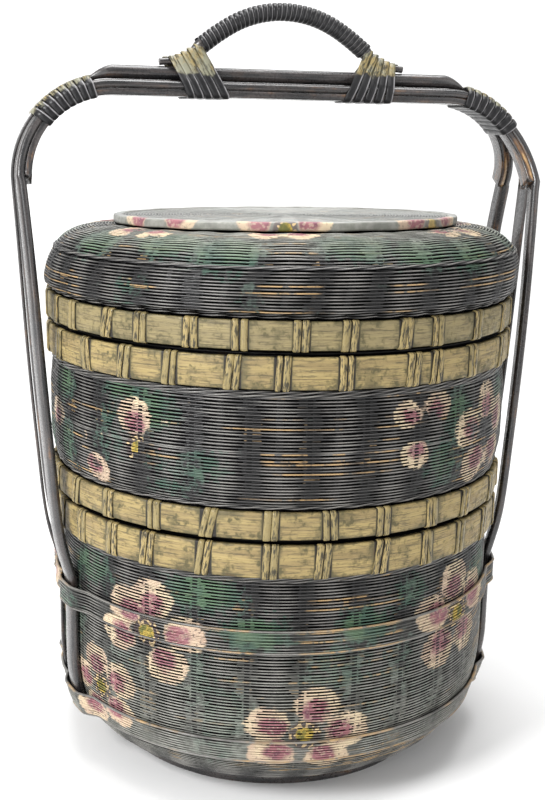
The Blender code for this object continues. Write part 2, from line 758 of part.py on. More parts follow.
def make_lower_tier(parent):
    """Foot ring, floor with its battens, wall, rim band and inner hoop."""
    foot_outer = BASE_RADIUS - FOOT_SETBACK
    foot_inner = foot_outer - FOOT_WIDTH
    cut = FOOT_ROUNDING
    turned("foot_ring", [
        (foot_inner, 0.0), (foot_outer - cut, 0.0), (foot_outer, cut),
        (foot_outer, FOOT_HEIGHT - cut), (foot_outer - cut, FOOT_HEIGHT),
        (foot_inner, FOOT_HEIGHT)], CANE_BLACK, parent)
    turned("lower_tier_wall", lower_shell(), WEAVE_DARK, parent)
    ledge_inner = BASE_RADIUS - FLOOR_LEDGE
    floor_bottom = FLOOR_LEVEL + WEAVE_THICKNESS + GAP
    floor_radius = ledge_inner + FLOOR_OVERLAP
    disc("lower_tier_floor", floor_radius, floor_bottom, floor_bottom + FLOOR_THICKNESS,
         0.0, WEAVE_UNDER, parent)
    make_battens("lower_tier", floor_bottom, ledge_inner - GAP, parent)
    outline = lower_outline()
    rim_band("lower_tier_rim_band", (LOWER_BAND_BOTTOM, LOWER_TIER_TOP),
             (radius_at(outline, LOWER_BAND_BOTTOM), LOWER_RIM_RADIUS),
             (LOWER_RIM_LASHINGS, LOWER_RIM_PHASE_SHARE), parent)
    make_hoop("lower_tier_inner_hoop", LOWER_RIM_RADIUS - LOWER_NECK_DEPTH,
              LOWER_TIER_TOP, LOWER_BAND_HEIGHT,
              UPPER_BASE_RADIUS - WEAVE_THICKNESS - HOOP_LIP_CLEARANCE, parent)


def make_battens(prefix, floor_bottom, reach, parent):
    """Two straight battens of split bamboo across the floor's underside."""
    side = BATTEN_SPACING / 2.0
    edge = side + BATTEN_WIDTH / 2.0
    half_length = math.sqrt(reach ** 2 - edge ** 2) * math.cos(math.pi / SEGMENTS)
    height = floor_bottom - GAP - BATTEN_THICKNESS / 2.0
    outline = split_cane(BATTEN_WIDTH, BATTEN_THICKNESS, BOW_CROWN_SHARE, BOW_FLANK_SHARE)
    down = Vector((0.0, 0.0, -1.0))
    for word, sign in (("front", -1.0), ("rear", 1.0)):
        ends = [Vector((-half_length, sign * side, height)),
                Vector((half_length, sign * side, height))]
        strip(prefix + "_" + word + "_batten", ends, frames(ends, [down, down]),
              outline, CANE_BROWN, parent)


def make_hoop(name, wall_radius, rim, band_height, lip_limit, parent):
    """Hoop inside a tier's rim, whose lip stands up into what sits above."""
    outer = wall_radius - WEAVE_THICKNESS - GAP
    lip = min(outer, lip_limit)
    inner = lip - HOOP_THICKNESS
    bottom = rim - band_height
    outline = [(inner, bottom), (outer, bottom)]
    if lip < outer:
        outline += [(outer, rim), (lip, rim)]
    outline += [(lip, rim + HOOP_LIP_HEIGHT), (inner, rim + HOOP_LIP_HEIGHT)]
    turned(name, outline, CANE_BROWN, parent)


def make_upper_tier(parent):
    """Wall, two bands, floor on battens and the hoop that locates the lid."""
    turned("upper_tier_wall", shell(upper_outline()), WEAVE_DARK, parent)
    rim_band("upper_tier_foot_band", (UPPER_BOTTOM, UPPER_BAND_TOP),
             (UPPER_BASE_RADIUS, UPPER_BASE_RADIUS),
             (UPPER_FOOT_LASHINGS, UPPER_FOOT_PHASE_SHARE), parent)
    rim_band("upper_tier_rim_band", (UPPER_RIM_BOTTOM, UPPER_TOP),
             (RIM_RADIUS, RIM_RADIUS),
             (UPPER_RIM_LASHINGS, UPPER_RIM_PHASE_SHARE), parent)
    reach = UPPER_BASE_RADIUS - WEAVE_THICKNESS - GAP
    floor_bottom = UPPER_BOTTOM + HOOP_LIP_HEIGHT + GAP + BATTEN_THICKNESS + GAP
    disc("upper_tier_floor", reach, floor_bottom, floor_bottom + FLOOR_THICKNESS,
         0.0, WEAVE_UNDER, parent)
    make_battens("upper_tier", floor_bottom, reach, parent)
    lid_hoop_inner = RIM_RADIUS - WEAVE_THICKNESS - GAP - LID_HOOP_THICKNESS
    make_hoop("upper_tier_inner_hoop", RIM_RADIUS, UPPER_TOP,
              UPPER_RIM_BAND_HEIGHT, lid_hoop_inner - HOOP_LIP_CLEARANCE, parent)


def make_lid(parent):
    """Domed wall, raised top disc, rim band and inner hoop."""
    turned("lid_wall", lid_shell(), WEAVE_DARK, parent)
    disc("lid_top_disc", LID_DISC_RADIUS, DISC_BOTTOM, DISC_TOP, LID_DISC_ROUNDING,
         WEAVE_DARK, parent)
    rim_band("lid_rim_band", (LID_BOTTOM, LID_BAND_TOP),
             (RIM_RADIUS, RIM_RADIUS),
             (LID_LASHINGS, LID_PHASE_SHARE), parent)
    outer = RIM_RADIUS - WEAVE_THICKNESS - GAP
    inner = outer - LID_HOOP_THICKNESS
    turned("lid_inner_hoop", [
        (inner, LID_BOTTOM), (outer, LID_BOTTOM),
        (outer, LID_BOTTOM + LID_HOOP_HEIGHT), (inner, LID_BOTTOM + LID_HOOP_HEIGHT)],
        CANE_BROWN, parent)


RAIL_TOP = BAR_HEIGHT + BOW_THICKNESS / 2.0 + GAP + RAIL_RADIUS * 2.0
GRIP_SEAT = RAIL_TOP + GAP + GRIP_CORE_RADIUS


def grip_path():
    """Centre line of the grip bow, foot to foot over its crown."""
    right = [Vector((GRIP_HALF_SPAN * reach, 0.0, GRIP_SEAT + GRIP_RISE * height))
             for reach, height in zip(GRIP_REACH_SHARES, GRIP_HEIGHT_SHARES)]
    left = [Vector((-point.x, 0.0, point.z)) for point in right]
    return smooth_through(left + right[-2::-1], GUIDE_STEPS)


def path_reader(path):
    """Return a function that gives place and direction at a share of a path."""
    points = np.array([tuple(point) for point in path])
    lengths = np.concatenate([[0.0], np.cumsum(
        np.linalg.norm(np.diff(points, axis=0), axis=1))])
    shares = lengths / lengths[-1]

    def read(share):
        place_at = Vector([float(np.interp(share, shares, points[:, axis]))
                           for axis in range(3)])
        spot = min(bisect.bisect(shares.tolist(), share), len(points) - 1)
        along = Vector(points[spot] - points[spot - 1]).normalized()
        return place_at, along

    return read


def make_grip(parent):
    """Grip bow: a cane core wound with cane between its two ties."""
    path = grip_path()
    sections = []
    side = Vector((0.0, 1.0, 0.0))
    upward = [Vector((0.0, 0.0, 1.0))] * len(path)
    turns = [math.tau * (index + 0.5) / CORE_SIDES for index in range(CORE_SIDES)]
    for point, (sideways, outward) in zip(path, frames(path, upward)):
        sections.append([point + (sideways * math.cos(turn) + outward * math.sin(turn))
                         * GRIP_CORE_RADIUS for turn in turns])
    loft("grip_core", sections, False, CANE_BROWN, parent)
    read = path_reader(path)
    turn_points = GRIP_TURN_POINTS
    wrap = (GRIP_CORE_RADIUS + GAP + GRIP_CANE_RADIUS) / math.cos(math.pi / turn_points)
    total = GRIP_TURNS * turn_points
    points = []
    for index in range(total + 1):
        share = 0.5 + GRIP_WRAP_SHARE * (index / total - 0.5)
        centre, along = read(share)
        up = side.cross(along) * -1.0
        turn = math.tau * index / turn_points
        points.append(centre + side * (wrap * math.sin(turn)) + up * (wrap * math.cos(turn)))
    wound_cane("grip_wrapping", points, GRIP_CANE_RADIUS, turn_points, CANE_BLACK, parent)


def make_shoulder_lashings(parent):
    """Windings of cane that bind rail, strips, bows and liners together."""
    reach = GAP + SHOULDER_CANE_RADIUS
    cover = max(STRIP_THICKNESS, RAIL_END_RADIUS * 2.0)
    top = SHOULDER_RADIUS + BOW_THICKNESS / 2.0 + GAP + cover + reach
    flank = SHOULDER_RADIUS + BOW_THICKNESS * (BOW_FLANK_SHARE - 0.5) + reach / 2.0
    low = SHOULDER_RADIUS - BOW_THICKNESS / 2.0 - GAP - LINER_THICKNESS - reach
    corner = reach / 2.0
    turn_points = WRAP_TURN_POINTS
    total = SHOULDER_TURNS * turn_points
    for name, sign in (("left_shoulder_lashing", -1.0), ("right_shoulder_lashing", 1.0)):
        points = []
        for index in range(total + 1):
            share = index / total
            angle = LASHING_START_ANGLE + (LASHING_END_ANGLE - LASHING_START_ANGLE) * share
            edge = shoulder_spread(angle) + BOW_WIDTH / 2.0 + reach
            over = STRIP_WIDTH / 2.0 + corner
            ring = [(0.0, top), (over, top), (edge, flank), (edge, low + corner),
                    (edge - corner, low), (0.0, low), (corner - edge, low),
                    (-edge, low + corner), (-edge, flank), (-over, top)]
            across, radius = ring[index % turn_points]
            points.append(Vector((
                sign * (SHOULDER_X + math.sin(angle) * radius),
                across, SHOULDER_Z + math.cos(angle) * radius)))
        wound_cane(name, points, SHOULDER_CANE_RADIUS, turn_points, CANE_OLIVE, parent)


def make_grip_ties(parent):
    """Slanting ties that hold each foot of the grip down on the bar."""
    reach = GAP + TIE_CANE_RADIUS
    read = path_reader(grip_path())
    heights = [read(step / TIE_PROBES / 2.0)[0] for step in range(TIE_PROBES + 1)]
    xs = [-point.x for point in heights][::-1]
    zs = [point.z for point in heights][::-1]
    edge = BAR_SIDE + BOW_WIDTH / 2.0 + reach + GAP
    flank = BAR_HEIGHT + BOW_THICKNESS * (BOW_FLANK_SHARE - 0.5)
    bottom = BAR_HEIGHT - BOW_THICKNESS / 2.0 - GAP - LINER_THICKNESS - reach
    corner = reach / 2.0
    over = GRIP_CORE_RADIUS + corner
    start = GRIP_HALF_SPAN - TIE_SETBACK
    turn_points = WRAP_TURN_POINTS
    for name, sign in (("left_grip_tie", -1.0), ("right_grip_tie", 1.0)):
        points = []
        for index in range(TIE_TURNS * turn_points + 1):
            turn = index / turn_points
            step = index % turn_points
            top_x = start - TIE_TOP_PITCH * turn
            low_x = start - TIE_SLANT - TIE_BOTTOM_PITCH * turn
            high = float(np.interp(top_x, xs, zs)) + GRIP_CORE_RADIUS + reach + GAP * 2.0
            first = TIE_SLANT_START_SHARE
            beside = TIE_SLANT_FLANK_SHARE
            ring = [(0.0, high, 0.0), (over, high, first), (edge, flank, beside),
                    (edge, bottom + corner, 1.0), (edge - corner, bottom, 1.0),
                    (0.0, bottom, 1.0), (corner - edge, bottom, 1.0),
                    (-edge, bottom + corner, 1.0), (-edge, flank, beside),
                    (-over, high, first)]
            across, level, share = ring[step]
            along = top_x + (low_x - top_x) * share
            points.append(Vector((sign * along, across, level)))
        wound_cane(name, points, TIE_CANE_RADIUS, turn_points, CANE_OLIVE, parent)


def make_handle(parent):
    """Everything of the carrying handle that is fixed to the lower tier."""
    make_bows(parent)
    make_liners(parent)
    make_outer_strips(parent)
    make_top_rail(parent)
    make_grip(parent)
    make_shoulder_lashings(parent)
    make_grip_ties(parent)
    make_belt("upper_belt", UPPER_BELT_BOTTOM, UPPER_BELT_HEIGHT, parent)
    make_belt("lower_belt", LOWER_BELT_BOTTOM, LOWER_BELT_HEIGHT, parent)


def carrier(name):
    """Empty on the vertical axis along which a loose piece is lifted."""
    empty = bpy.data.objects.new(name, None)
    bpy.context.collection.objects.link(empty)
    return empty


def main():
    """Build the basket from the foot up."""
    clear_scene()
    base = carrier("base_frame")
    make_lower_tier(base)
    make_handle(base)
    upper = carrier("upper_tier_axis")
    upper.parent = base
    make_upper_tier(upper)
    lid = carrier("lid_axis")
    lid.parent = upper
    make_lid(lid)


main()
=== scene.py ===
import math

import bpy
import numpy as np
from bpy.props import FloatProperty, FloatVectorProperty, IntProperty, PointerProperty
from mathutils import Matrix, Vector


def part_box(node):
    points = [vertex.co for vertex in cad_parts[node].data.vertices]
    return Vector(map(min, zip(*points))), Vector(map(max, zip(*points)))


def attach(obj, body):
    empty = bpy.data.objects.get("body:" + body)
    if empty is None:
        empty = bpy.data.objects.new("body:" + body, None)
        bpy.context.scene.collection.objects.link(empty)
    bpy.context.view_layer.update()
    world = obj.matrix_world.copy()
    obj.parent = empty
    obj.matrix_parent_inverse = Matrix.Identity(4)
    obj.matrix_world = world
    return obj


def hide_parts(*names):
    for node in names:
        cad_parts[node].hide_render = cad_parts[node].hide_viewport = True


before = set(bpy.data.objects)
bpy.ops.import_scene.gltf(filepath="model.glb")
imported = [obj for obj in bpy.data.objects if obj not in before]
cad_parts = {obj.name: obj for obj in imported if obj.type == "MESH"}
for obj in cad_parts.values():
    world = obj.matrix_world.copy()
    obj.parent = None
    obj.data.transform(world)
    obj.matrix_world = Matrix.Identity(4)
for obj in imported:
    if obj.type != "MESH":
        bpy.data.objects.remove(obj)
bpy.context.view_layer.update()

bl_info = {
    "name": "Tiered bamboo basket",
    "version": (1, 0, 0),
    "blender": (4, 5, 0),
    "location": "View3D > Sidebar > Basket",
    "description": "Weaves, bands, binds and paints the tiered basket on its frame",
    "category": "Object",
}

# The basket stands on z = 0 with its handle along X. Lengths are in metres.
GAP = 0.0003
LOWER_BAND = (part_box("lower_tier_rim_band")[0].z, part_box("lower_tier_rim_band")[1].z)
UPPER_FOOT_BAND = (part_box("upper_tier_foot_band")[0].z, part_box("upper_tier_foot_band")[1].z)
UPPER_RIM_BAND = (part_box("upper_tier_rim_band")[0].z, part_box("upper_tier_rim_band")[1].z)
LID_BAND = (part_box("lid_rim_band")[0].z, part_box("lid_rim_band")[1].z)
DISC_HEIGHTS = (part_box("lid_top_disc")[0].z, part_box("lid_top_disc")[1].z)
DISC_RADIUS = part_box("lid_top_disc")[1].x
LID_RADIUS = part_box("lid_wall")[1].x
LID_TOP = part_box("lid_wall")[1].z
UPPER_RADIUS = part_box("upper_tier_wall")[1].x
RIM_RADIUS = 0.1463
BASE_RADIUS = 0.1060
LOWER_RADIUS = 0.1430
LOWER_RIM_RADIUS = 0.1434
UPPER_BASE_RADIUS = 0.1439
FLOOR_LEVEL = 0.0083
WALL = 0.0026
BAND_THICKNESS = 0.0034

# Handle
BAR_HEIGHT = 0.4250
BAR_SIDE = 0.00665
BOW_WIDTH = 0.0130
BOW_THICKNESS = 0.0050
LINER_THICKNESS = 0.0042
SHOULDER_X = 0.1080
SHOULDER_Z = 0.3675
SHOULDER_RADIUS = 0.0575
SHOULDER_SPLAY = 0.0175
LEG_ANGLE = math.radians(15.5)
LEG_END_HEIGHT = 0.0300
BELT_TOP = 0.1190
BELTS = (("upper", 0.1045, 0.1190), ("lower", 0.0330, 0.0485))
STRIP_WIDTH = 0.0140
STRIP_THICKNESS = 0.0020
RAIL_RADIUS = 0.00425
GRIP_HALF_SPAN = 0.0790
GRIP_RISE = 0.0325
GRIP_SEAT = BAR_HEIGHT + BOW_THICKNESS / 2 + GAP + RAIL_RADIUS * 2 + GAP + 0.0021

# Painted blossoms: angle in degrees round the basket, height, turn in
# degrees or the five petals' own bearings, size, and how much of each of
# the five petals is left
LOWER_BLOSSOMS = (
    (225.6, 0.1080, (6, 85, 137, 196, 300), 1.02, (1, 1, 1, 1, 1)),
    (264.8, 0.0525, (4, 74, 160, 220, 304), 1.02, (1, 1, 1, 1, 1)),
    (308.5, 0.1100, 20, 1.10, (1, 1, 1, 1, 1)),
    (208.5, 0.0590, 32, 0.92, (1, 1, 1, 1, 1)),
    (352.0, 0.0620, 40, 1.00, (1, 1, 1, 0.5, 1)),
    (24.0, 0.1100, 5, 1.04, (1, 1, 1, 1, 1)),
    (62.0, 0.0560, 50, 0.98, (1, 1, 1, 1, 0.6)),
    (98.0, 0.1130, 20, 1.05, (1, 1, 1, 1, 1)),
    (140.0, 0.0600, 12, 1.00, (1, 0.7, 1, 1, 1)),
    (172.0, 0.1060, 30, 0.98, (1, 1, 1, 1, 1)),
)
UPPER_BLOSSOMS = (
    (190.5, 0.2095, 90, 0.85, (0.84, 0, 0, 0, 0)),
    (224.5, 0.2202, 98, 0.95, (0.95, 0, 0, 0, 0.25)),
    (204.8, 0.2100, -30, 0.80, (0.84, 0.2, 0, 0, 0)),
    (291.9, 0.2345, (59, 141, 245, 0, 0), 0.75, (0.84, 0.84, 0.84, 0, 0)),
    (316.0, 0.2230, 20, 1.02, (0.7, 0.84, 0.5, 0.8, 0.84)),
    (352.0, 0.2300, 60, 0.85, (0.9, 0.4, 0.8, 0.9, 0)),
    (28.0, 0.2200, 0, 0.92, (0.8, 0.9, 0.3, 0.7, 0.9)),
    (66.0, 0.2330, 45, 0.78, (0.9, 0, 0.6, 0.9, 0.4)),
    (104.0, 0.2220, 10, 0.95, (0.6, 0.9, 0.8, 0, 0.9)),
    (150.0, 0.2310, 70, 0.80, (0.9, 0.5, 0, 0.9, 0.7)),
)
LID_BLOSSOMS = (
    (213.4, 0.3440, 20, 0.90, (0.5, 0.7, 0.7, 0.7, 0.5)),
    (255.0, 0.3440, 18, 0.74, (0.9, 0.9, 0.8, 0.85, 0.85)),
    (310.8, 0.3440, 10, 0.90, (0.7, 0.6, 0.6, 0.6, 0.7)),
    (356.0, 0.3466, 40, 0.95, (0.8, 0.8, 0.8, 0.5, 0.8)),
    (44.0, 0.3466, 15, 0.95, (0.8, 0.6, 0.8, 0.8, 0.8)),
    (96.0, 0.3466, 60, 1.00, (0.8, 0.8, 0.8, 0.8, 0.6)),
    (150.0, 0.3466, 30, 0.92, (0.8, 0.8, 0.5, 0.8, 0.8)),
)
# The three that run over the disc's lip
LIP_BLOSSOMS = (
    (212.0, 0.3440, 20, 0.90, (0.8, 0.8, 0.8, 0.8, 0.8)),
    (255.5, 0.3440, 18, 0.76, (1, 1, 1, 1, 1)),
    (308.0, 0.3440, 90, 0.90, (0.9, 0.9, 0.9, 0.9, 0.9)),
)
# Green brushwork: angle, height, half width, half height, strength
LOWER_LEAVES = (
    (239.5, 0.1390, 0.022, 0.012, 1.0), (252.5, 0.1160, 0.020, 0.011, 0.9),
    (246.0, 0.0640, 0.016, 0.020, 0.7), (238.0, 0.0840, 0.013, 0.018, 0.7),
    (278.6, 0.1190, 0.016, 0.010, 1.0), (272.0, 0.0930, 0.020, 0.016, 0.7),
    (204.5, 0.1360, 0.024, 0.012, 0.8), (196.0, 0.0970, 0.014, 0.018, 0.7),
    (289.0, 0.0880, 0.014, 0.018, 0.6), (283.0, 0.0560, 0.013, 0.020, 0.5),
    (244.0, 0.0420, 0.020, 0.014, 0.6), (300.0, 0.0660, 0.016, 0.016, 0.5),
    (292.0, 0.1350, 0.014, 0.010, 0.7), (324.0, 0.1300, 0.018, 0.014, 0.8),
    (218.0, 0.0800, 0.016, 0.012, 0.6), (340.0, 0.0900, 0.020, 0.018, 0.8),
    (8.0, 0.0850, 0.018, 0.016, 0.8), (40.0, 0.0800, 0.022, 0.014, 0.8),
    (80.0, 0.0850, 0.018, 0.018, 0.8), (118.0, 0.0800, 0.022, 0.016, 0.8),
    (156.0, 0.0900, 0.018, 0.016, 0.8), (184.0, 0.0700, 0.016, 0.018, 0.8),
    (72.0, 0.1350, 0.020, 0.010, 0.8), (128.0, 0.1300, 0.020, 0.012, 0.8),
)
UPPER_LEAVES = (
    (195.4, 0.2480, 0.014, 0.010, 1.0), (221.0, 0.2530, 0.020, 0.006, 0.9),
    (229.0, 0.2440, 0.014, 0.012, 0.9), (216.0, 0.2260, 0.014, 0.016, 0.6),
    (196.8, 0.2110, 0.012, 0.014, 0.8), (241.0, 0.2140, 0.014, 0.010, 0.7),
    (233.0, 0.2080, 0.014, 0.012, 0.6), (302.6, 0.2370, 0.012, 0.018, 0.9),
    (298.0, 0.2130, 0.014, 0.014, 0.8), (325.0, 0.2450, 0.016, 0.010, 0.8),
    (340.0, 0.2120, 0.018, 0.014, 0.8), (10.0, 0.2420, 0.018, 0.012, 0.8),
    (46.0, 0.2260, 0.018, 0.016, 0.7), (86.0, 0.2420, 0.018, 0.010, 0.8),
    (126.0, 0.2280, 0.018, 0.016, 0.8), (168.0, 0.2400, 0.018, 0.012, 0.8),
    (181.0, 0.2120, 0.014, 0.014, 0.8),
)
LID_LEAVES = (
    (205.0, 0.3370, 0.020, 0.012, 1.0), (228.0, 0.3380, 0.022, 0.011, 1.0),
    (243.0, 0.3350, 0.020, 0.013, 1.0), (272.0, 0.3380, 0.022, 0.011, 1.0),
    (288.0, 0.3350, 0.022, 0.011, 0.9), (303.0, 0.3330, 0.020, 0.012, 0.9),
    (328.0, 0.3380, 0.022, 0.012, 0.8), (345.0, 0.3330, 0.020, 0.012, 0.8),
    (20.0, 0.3360, 0.024, 0.012, 0.9), (70.0, 0.3370, 0.024, 0.012, 0.9),
    (122.0, 0.3350, 0.024, 0.012, 0.9), (172.0, 0.3370, 0.024, 0.012, 0.9),
    (222.0, 0.3120, 0.012, 0.010, 0.5), (250.0, 0.3120, 0.012, 0.010, 0.4),
)
# How much painted light each of a weaver's five edges takes, from its upper
# outside round over its top; the rest is painted shade
SECTION_LIGHT = np.array((1.0, 0.45, 0.0, 0.10, 0.75))
# Pairs of cane that tie each band: angles in degrees where the photograph
# shows them, then an even pitch behind
LOWER_RIM_TIES = (191.6, 203.5, 215.7, 226.4, 240.6, 255.6, 267.4, 281.3, 294.2, 306.3, 319.3)
UPPER_FOOT_TIES = (188.0, 201.3, 214.7, 228.4, 241.7, 255.7, 268.7, 281.4, 295.1, 307.4, 323.2)
UPPER_RIM_TIES = (194.5, 208.4, 221.1, 232.9, 247.0, 257.5, 271.0, 287.0, 293.4, 305.8, 322.0)
LID_TIES = (192.7, 202.5, 216.0, 225.5, 237.7, 248.4, 261.2, 271.6, 284.5, 293.2, 307.1, 322.0)


class BasketSizes(bpy.types.PropertyGroup):
    """Sizes of the weave and the bindings."""

    weaver_pitch: FloatProperty(name="Weaver pitch", description="Height from one weaver to the next",
                                default=0.00096, min=0.0008, max=0.006, precision=5, unit="LENGTH")
    weaver_thickness: FloatProperty(name="Weaver thickness", description="Thickness of one weaver",
                                    default=0.00060, min=0.0003, max=0.002, precision=5, unit="LENGTH")
    swing: FloatProperty(name="Weaver swing", description="How far a weaver bends round a stake",
                         default=0.00038, min=0.0, max=0.002, precision=5, unit="LENGTH")
    stake_width: FloatProperty(name="Stake width", description="Width of one upright stake",
                               default=0.0056, min=0.001, max=0.01, precision=4, unit="LENGTH")
    stakes: IntProperty(name="Stakes", description="Upright stakes round a tier, an even number",
                        default=56, min=24, max=96)
    grip_turns: IntProperty(name="Grip turns", description="Turns of flat cane round the grip",
                            default=38, min=10, max=60)
    shoulder_turns: IntProperty(name="Shoulder turns", description="Turns of flat cane on each shoulder",
                                default=8, min=4, max=12)
    tie_turns: IntProperty(name="Tie turns", description="Turns of flat cane at each foot of the grip",
                           default=5, min=3, max=8)


class BasketColours(bpy.types.PropertyGroup):
    """Colours of the lacquer, paint and cane."""

    lacquer: FloatVectorProperty(name="Lacquer", description="Dark lacquer of the weave and handle",
                                 subtype="COLOR", default=(0.011, 0.011, 0.012), min=0, max=1)
    worn: FloatVectorProperty(name="Worn bamboo", description="Bare bamboo where the lacquer has gone",
                              subtype="COLOR", default=(0.45, 0.29, 0.13), min=0, max=1)
    gold: FloatVectorProperty(name="Gold", description="Aged gold paint on the bands",
                              subtype="COLOR", default=(0.35, 0.265, 0.105), min=0, max=1)
    patina: FloatVectorProperty(name="Patina", description="Dirt and age on the gold paint",
                                subtype="COLOR", default=(0.075, 0.065, 0.028), min=0, max=1)
    leaf: FloatVectorProperty(name="Leaf", description="Green brushwork between the blossoms",
                              subtype="COLOR", default=(0.058, 0.112, 0.084), min=0, max=1)
    petal: FloatVectorProperty(name="Petal", description="Cream edge of a petal",
                               subtype="COLOR", default=(0.62, 0.51, 0.35), min=0, max=1)
    rose: FloatVectorProperty(name="Rose", description="Rose patch inside a petal",
                              subtype="COLOR", default=(0.31, 0.135, 0.150), min=0, max=1)
    eye: FloatVectorProperty(name="Eye", description="Yellow middle of a blossom",
                             subtype="COLOR", default=(0.46, 0.33, 0.07), min=0, max=1)
    cane: FloatVectorProperty(name="Cane", description="Olive gold of the tying cane",
                              subtype="COLOR", default=(0.24, 0.19, 0.085), min=0, max=1)


# ---------------------------------------------------------------- surfaces


def lean_lid(points):
    """Let the lid's dome lean a little, as the hand-woven one does.

    With t rising smoothly from 0 at its band's top to 1 at 30 mm above it,
    x grows by t (4.5 mm - 0.020 max(x, 0)) and z by t (0.010 x - 1.5 mm).
    From 332 mm up to the disc z also falls by 0.022 y, so the disc tips
    back a little.
    """
    t = np.clip((points[..., 2] - LID_BAND[1]) / 0.030, 0, 1)
    t = t * t * (3 - 2 * t)
    tip = np.clip((points[..., 2] - 0.3320) / (DISC_HEIGHTS[0] - 0.3320), 0, 1)
    x, y, z = points[..., 0], points[..., 1], points[..., 2]
    return np.stack([x + t * (0.0045 - 0.020 * np.maximum(x, 0)), y,
                     z + t * (0.010 * x - 0.0015) - tip * 0.022 * y], -1)


def add_surface(name, grids, body, finish, u=None, v=None, fields=None, closed=(True, True),
                stands_for=()):
    """Put a batch of point grids into one mesh that rides on a body.

    grids has the shape (count, along, across, 3). closed says whether each
    grid joins up along and across; an end that stays open along is capped.
    u runs along and v across in metres, each with one value more where the
    grid is closed. Faces are turned outwards by the sign of the volume.
    """
    grids = np.asarray(grids, float)
    if body == "lid":
        grids = lean_lid(grids)
    count, along, across = grids.shape[:3]
    points = grids.reshape(-1, 3)
    i, j = np.meshgrid(np.arange(along - (not closed[0])), np.arange(across - (not closed[1])),
                       indexing="ij")
    corners_i = np.stack([i, i + 1, i + 1, i], -1).reshape(-1, 4)
    corners_j = np.stack([j, j, j + 1, j + 1], -1).reshape(-1, 4)
    first = (np.arange(count) * along * across)[:, None, None]
    quads = (first + (corners_i % along) * across + corners_j % across).reshape(-1, 4)
    caps = np.zeros((0, across), int)
    ring = np.arange(across)
    if not closed[0]:
        near = first[:, 0] + ring
        far = first[:, 0] + (along - 1) * across + ring[::-1]
        caps = np.concatenate([near, far])
    local = (grids - grids.mean(axis=(1, 2), keepdims=True)).reshape(-1, 3)
    corner = local[quads]
    volume = (np.cross(corner[:, 1], corner[:, 2]) * corner[:, 0]).sum()
    volume += (np.cross(corner[:, 2], corner[:, 3]) * corner[:, 0]).sum()
    fan = local[caps]
    volume += (np.cross(fan[:, 1:-1], fan[:, 2:]) * fan[:, :1]).sum()
    flip = -1 if volume < 0 else 1
    loops = np.concatenate([quads[:, ::flip].ravel(), caps[:, ::flip].ravel()])
    starts = np.concatenate([np.arange(len(quads)) * 4, len(quads) * 4 + np.arange(len(caps)) * across])
    mesh = bpy.data.meshes.new(name)
    mesh.vertices.add(len(points))
    mesh.vertices.foreach_set("co", points.ravel())
    mesh.loops.add(len(loops))
    mesh.loops.foreach_set("vertex_index", loops)
    mesh.polygons.add(len(starts))
    mesh.polygons.foreach_set("loop_start", starts)
    mesh.update(calc_edges=True)
    if u is not None:
        u = np.broadcast_to(u, (count, along + closed[0]))
        v = np.broadcast_to(v, (count, across + closed[1]))
        quad_u = u[:, corners_i].reshape(-1, 4)[:, ::flip]
        quad_v = v[:, corners_j].reshape(-1, 4)[:, ::flip]
        flat_u, flat_v = quad_u.ravel(), quad_v.ravel()
        if not closed[0]:
            cap_u = np.concatenate([np.repeat(u[:, :1], across, 1), np.repeat(u[:, -1:], across, 1)])
            cap_v = np.concatenate([v[:, ring], v[:, ring[::-1]]])
            flat_u = np.concatenate([flat_u, cap_u[:, ::flip].ravel()])
            flat_v = np.concatenate([flat_v, cap_v[:, ::flip].ravel()])
        layer = mesh.uv_layers.new(name="unrolled")
        layer.data.foreach_set("uv", np.stack([flat_u, flat_v], -1).ravel())
    for key, value in (fields or {}).items():
        if value.ndim == 4:
            layer = mesh.attributes.new(key, "FLOAT_VECTOR", "POINT")
            layer.data.foreach_set("vector", value.astype(np.float32).ravel())
        else:
            layer = mesh.attributes.new(key, "FLOAT", "POINT")
            layer.data.foreach_set("value", value.astype(np.float32).ravel())
    mesh.shade_smooth()
    mesh.materials.append(finish)
    piece = bpy.data.objects.new(name, mesh)
    bpy.context.scene.collection.objects.link(piece)
    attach(piece, body)
    if stands_for:
        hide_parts(*stands_for)
    return piece


def spin(outline, segments=288, wobble=None):
    """Turn a closed outline of (radius, height) round Z.

    Point (i, j) is (r_j cos a_i, r_j sin a_i, z_j) with a_i = 2 pi i / segments.
    wobble adds a radius and height for each angle.
    """
    angle = np.arange(segments) * math.tau / segments
    outline = np.asarray(outline, float)
    radius = outline[None, :, 0] + np.zeros((segments, 1))
    height = outline[None, :, 1] + np.zeros((segments, 1))
    if wobble is not None:
        shift_r, shift_z = wobble(angle)
        radius = radius + shift_r[:, None]
        height = height + shift_z[:, None]
    return np.stack([radius * np.cos(angle)[:, None], radius * np.sin(angle)[:, None], height], -1)[None]


def spin_uv(outline, segments=288):
    """Arc length round the outline's widest radius, and length along the outline."""
    outline = np.asarray(outline, float)
    step = np.linalg.norm(np.diff(np.vstack([outline, outline[:1]]), axis=0), axis=1)
    v = np.concatenate([[0.0], np.cumsum(step)])
    u = np.arange(segments + 1) * math.tau / segments * outline[:, 0].max()
    return u[None], v[None]


def rounded(corners, radius, steps=3):
    """Round the corners of a closed outline with short quadratic curves."""
    corners = np.asarray(corners, float)
    before = np.roll(corners, 1, 0) - corners
    after = np.roll(corners, -1, 0) - corners
    before = before / np.linalg.norm(before, axis=1)[:, None] * radius
    after = after / np.linalg.norm(after, axis=1)[:, None] * radius
    t = np.linspace(0, 1, steps + 1)[None, :, None]
    start, end = (corners + before)[:, None], (corners + after)[:, None]
    curve = start * (1 - t) ** 2 + corners[:, None] * 2 * t * (1 - t) + end * t ** 2
    return curve.reshape(-1, 2)


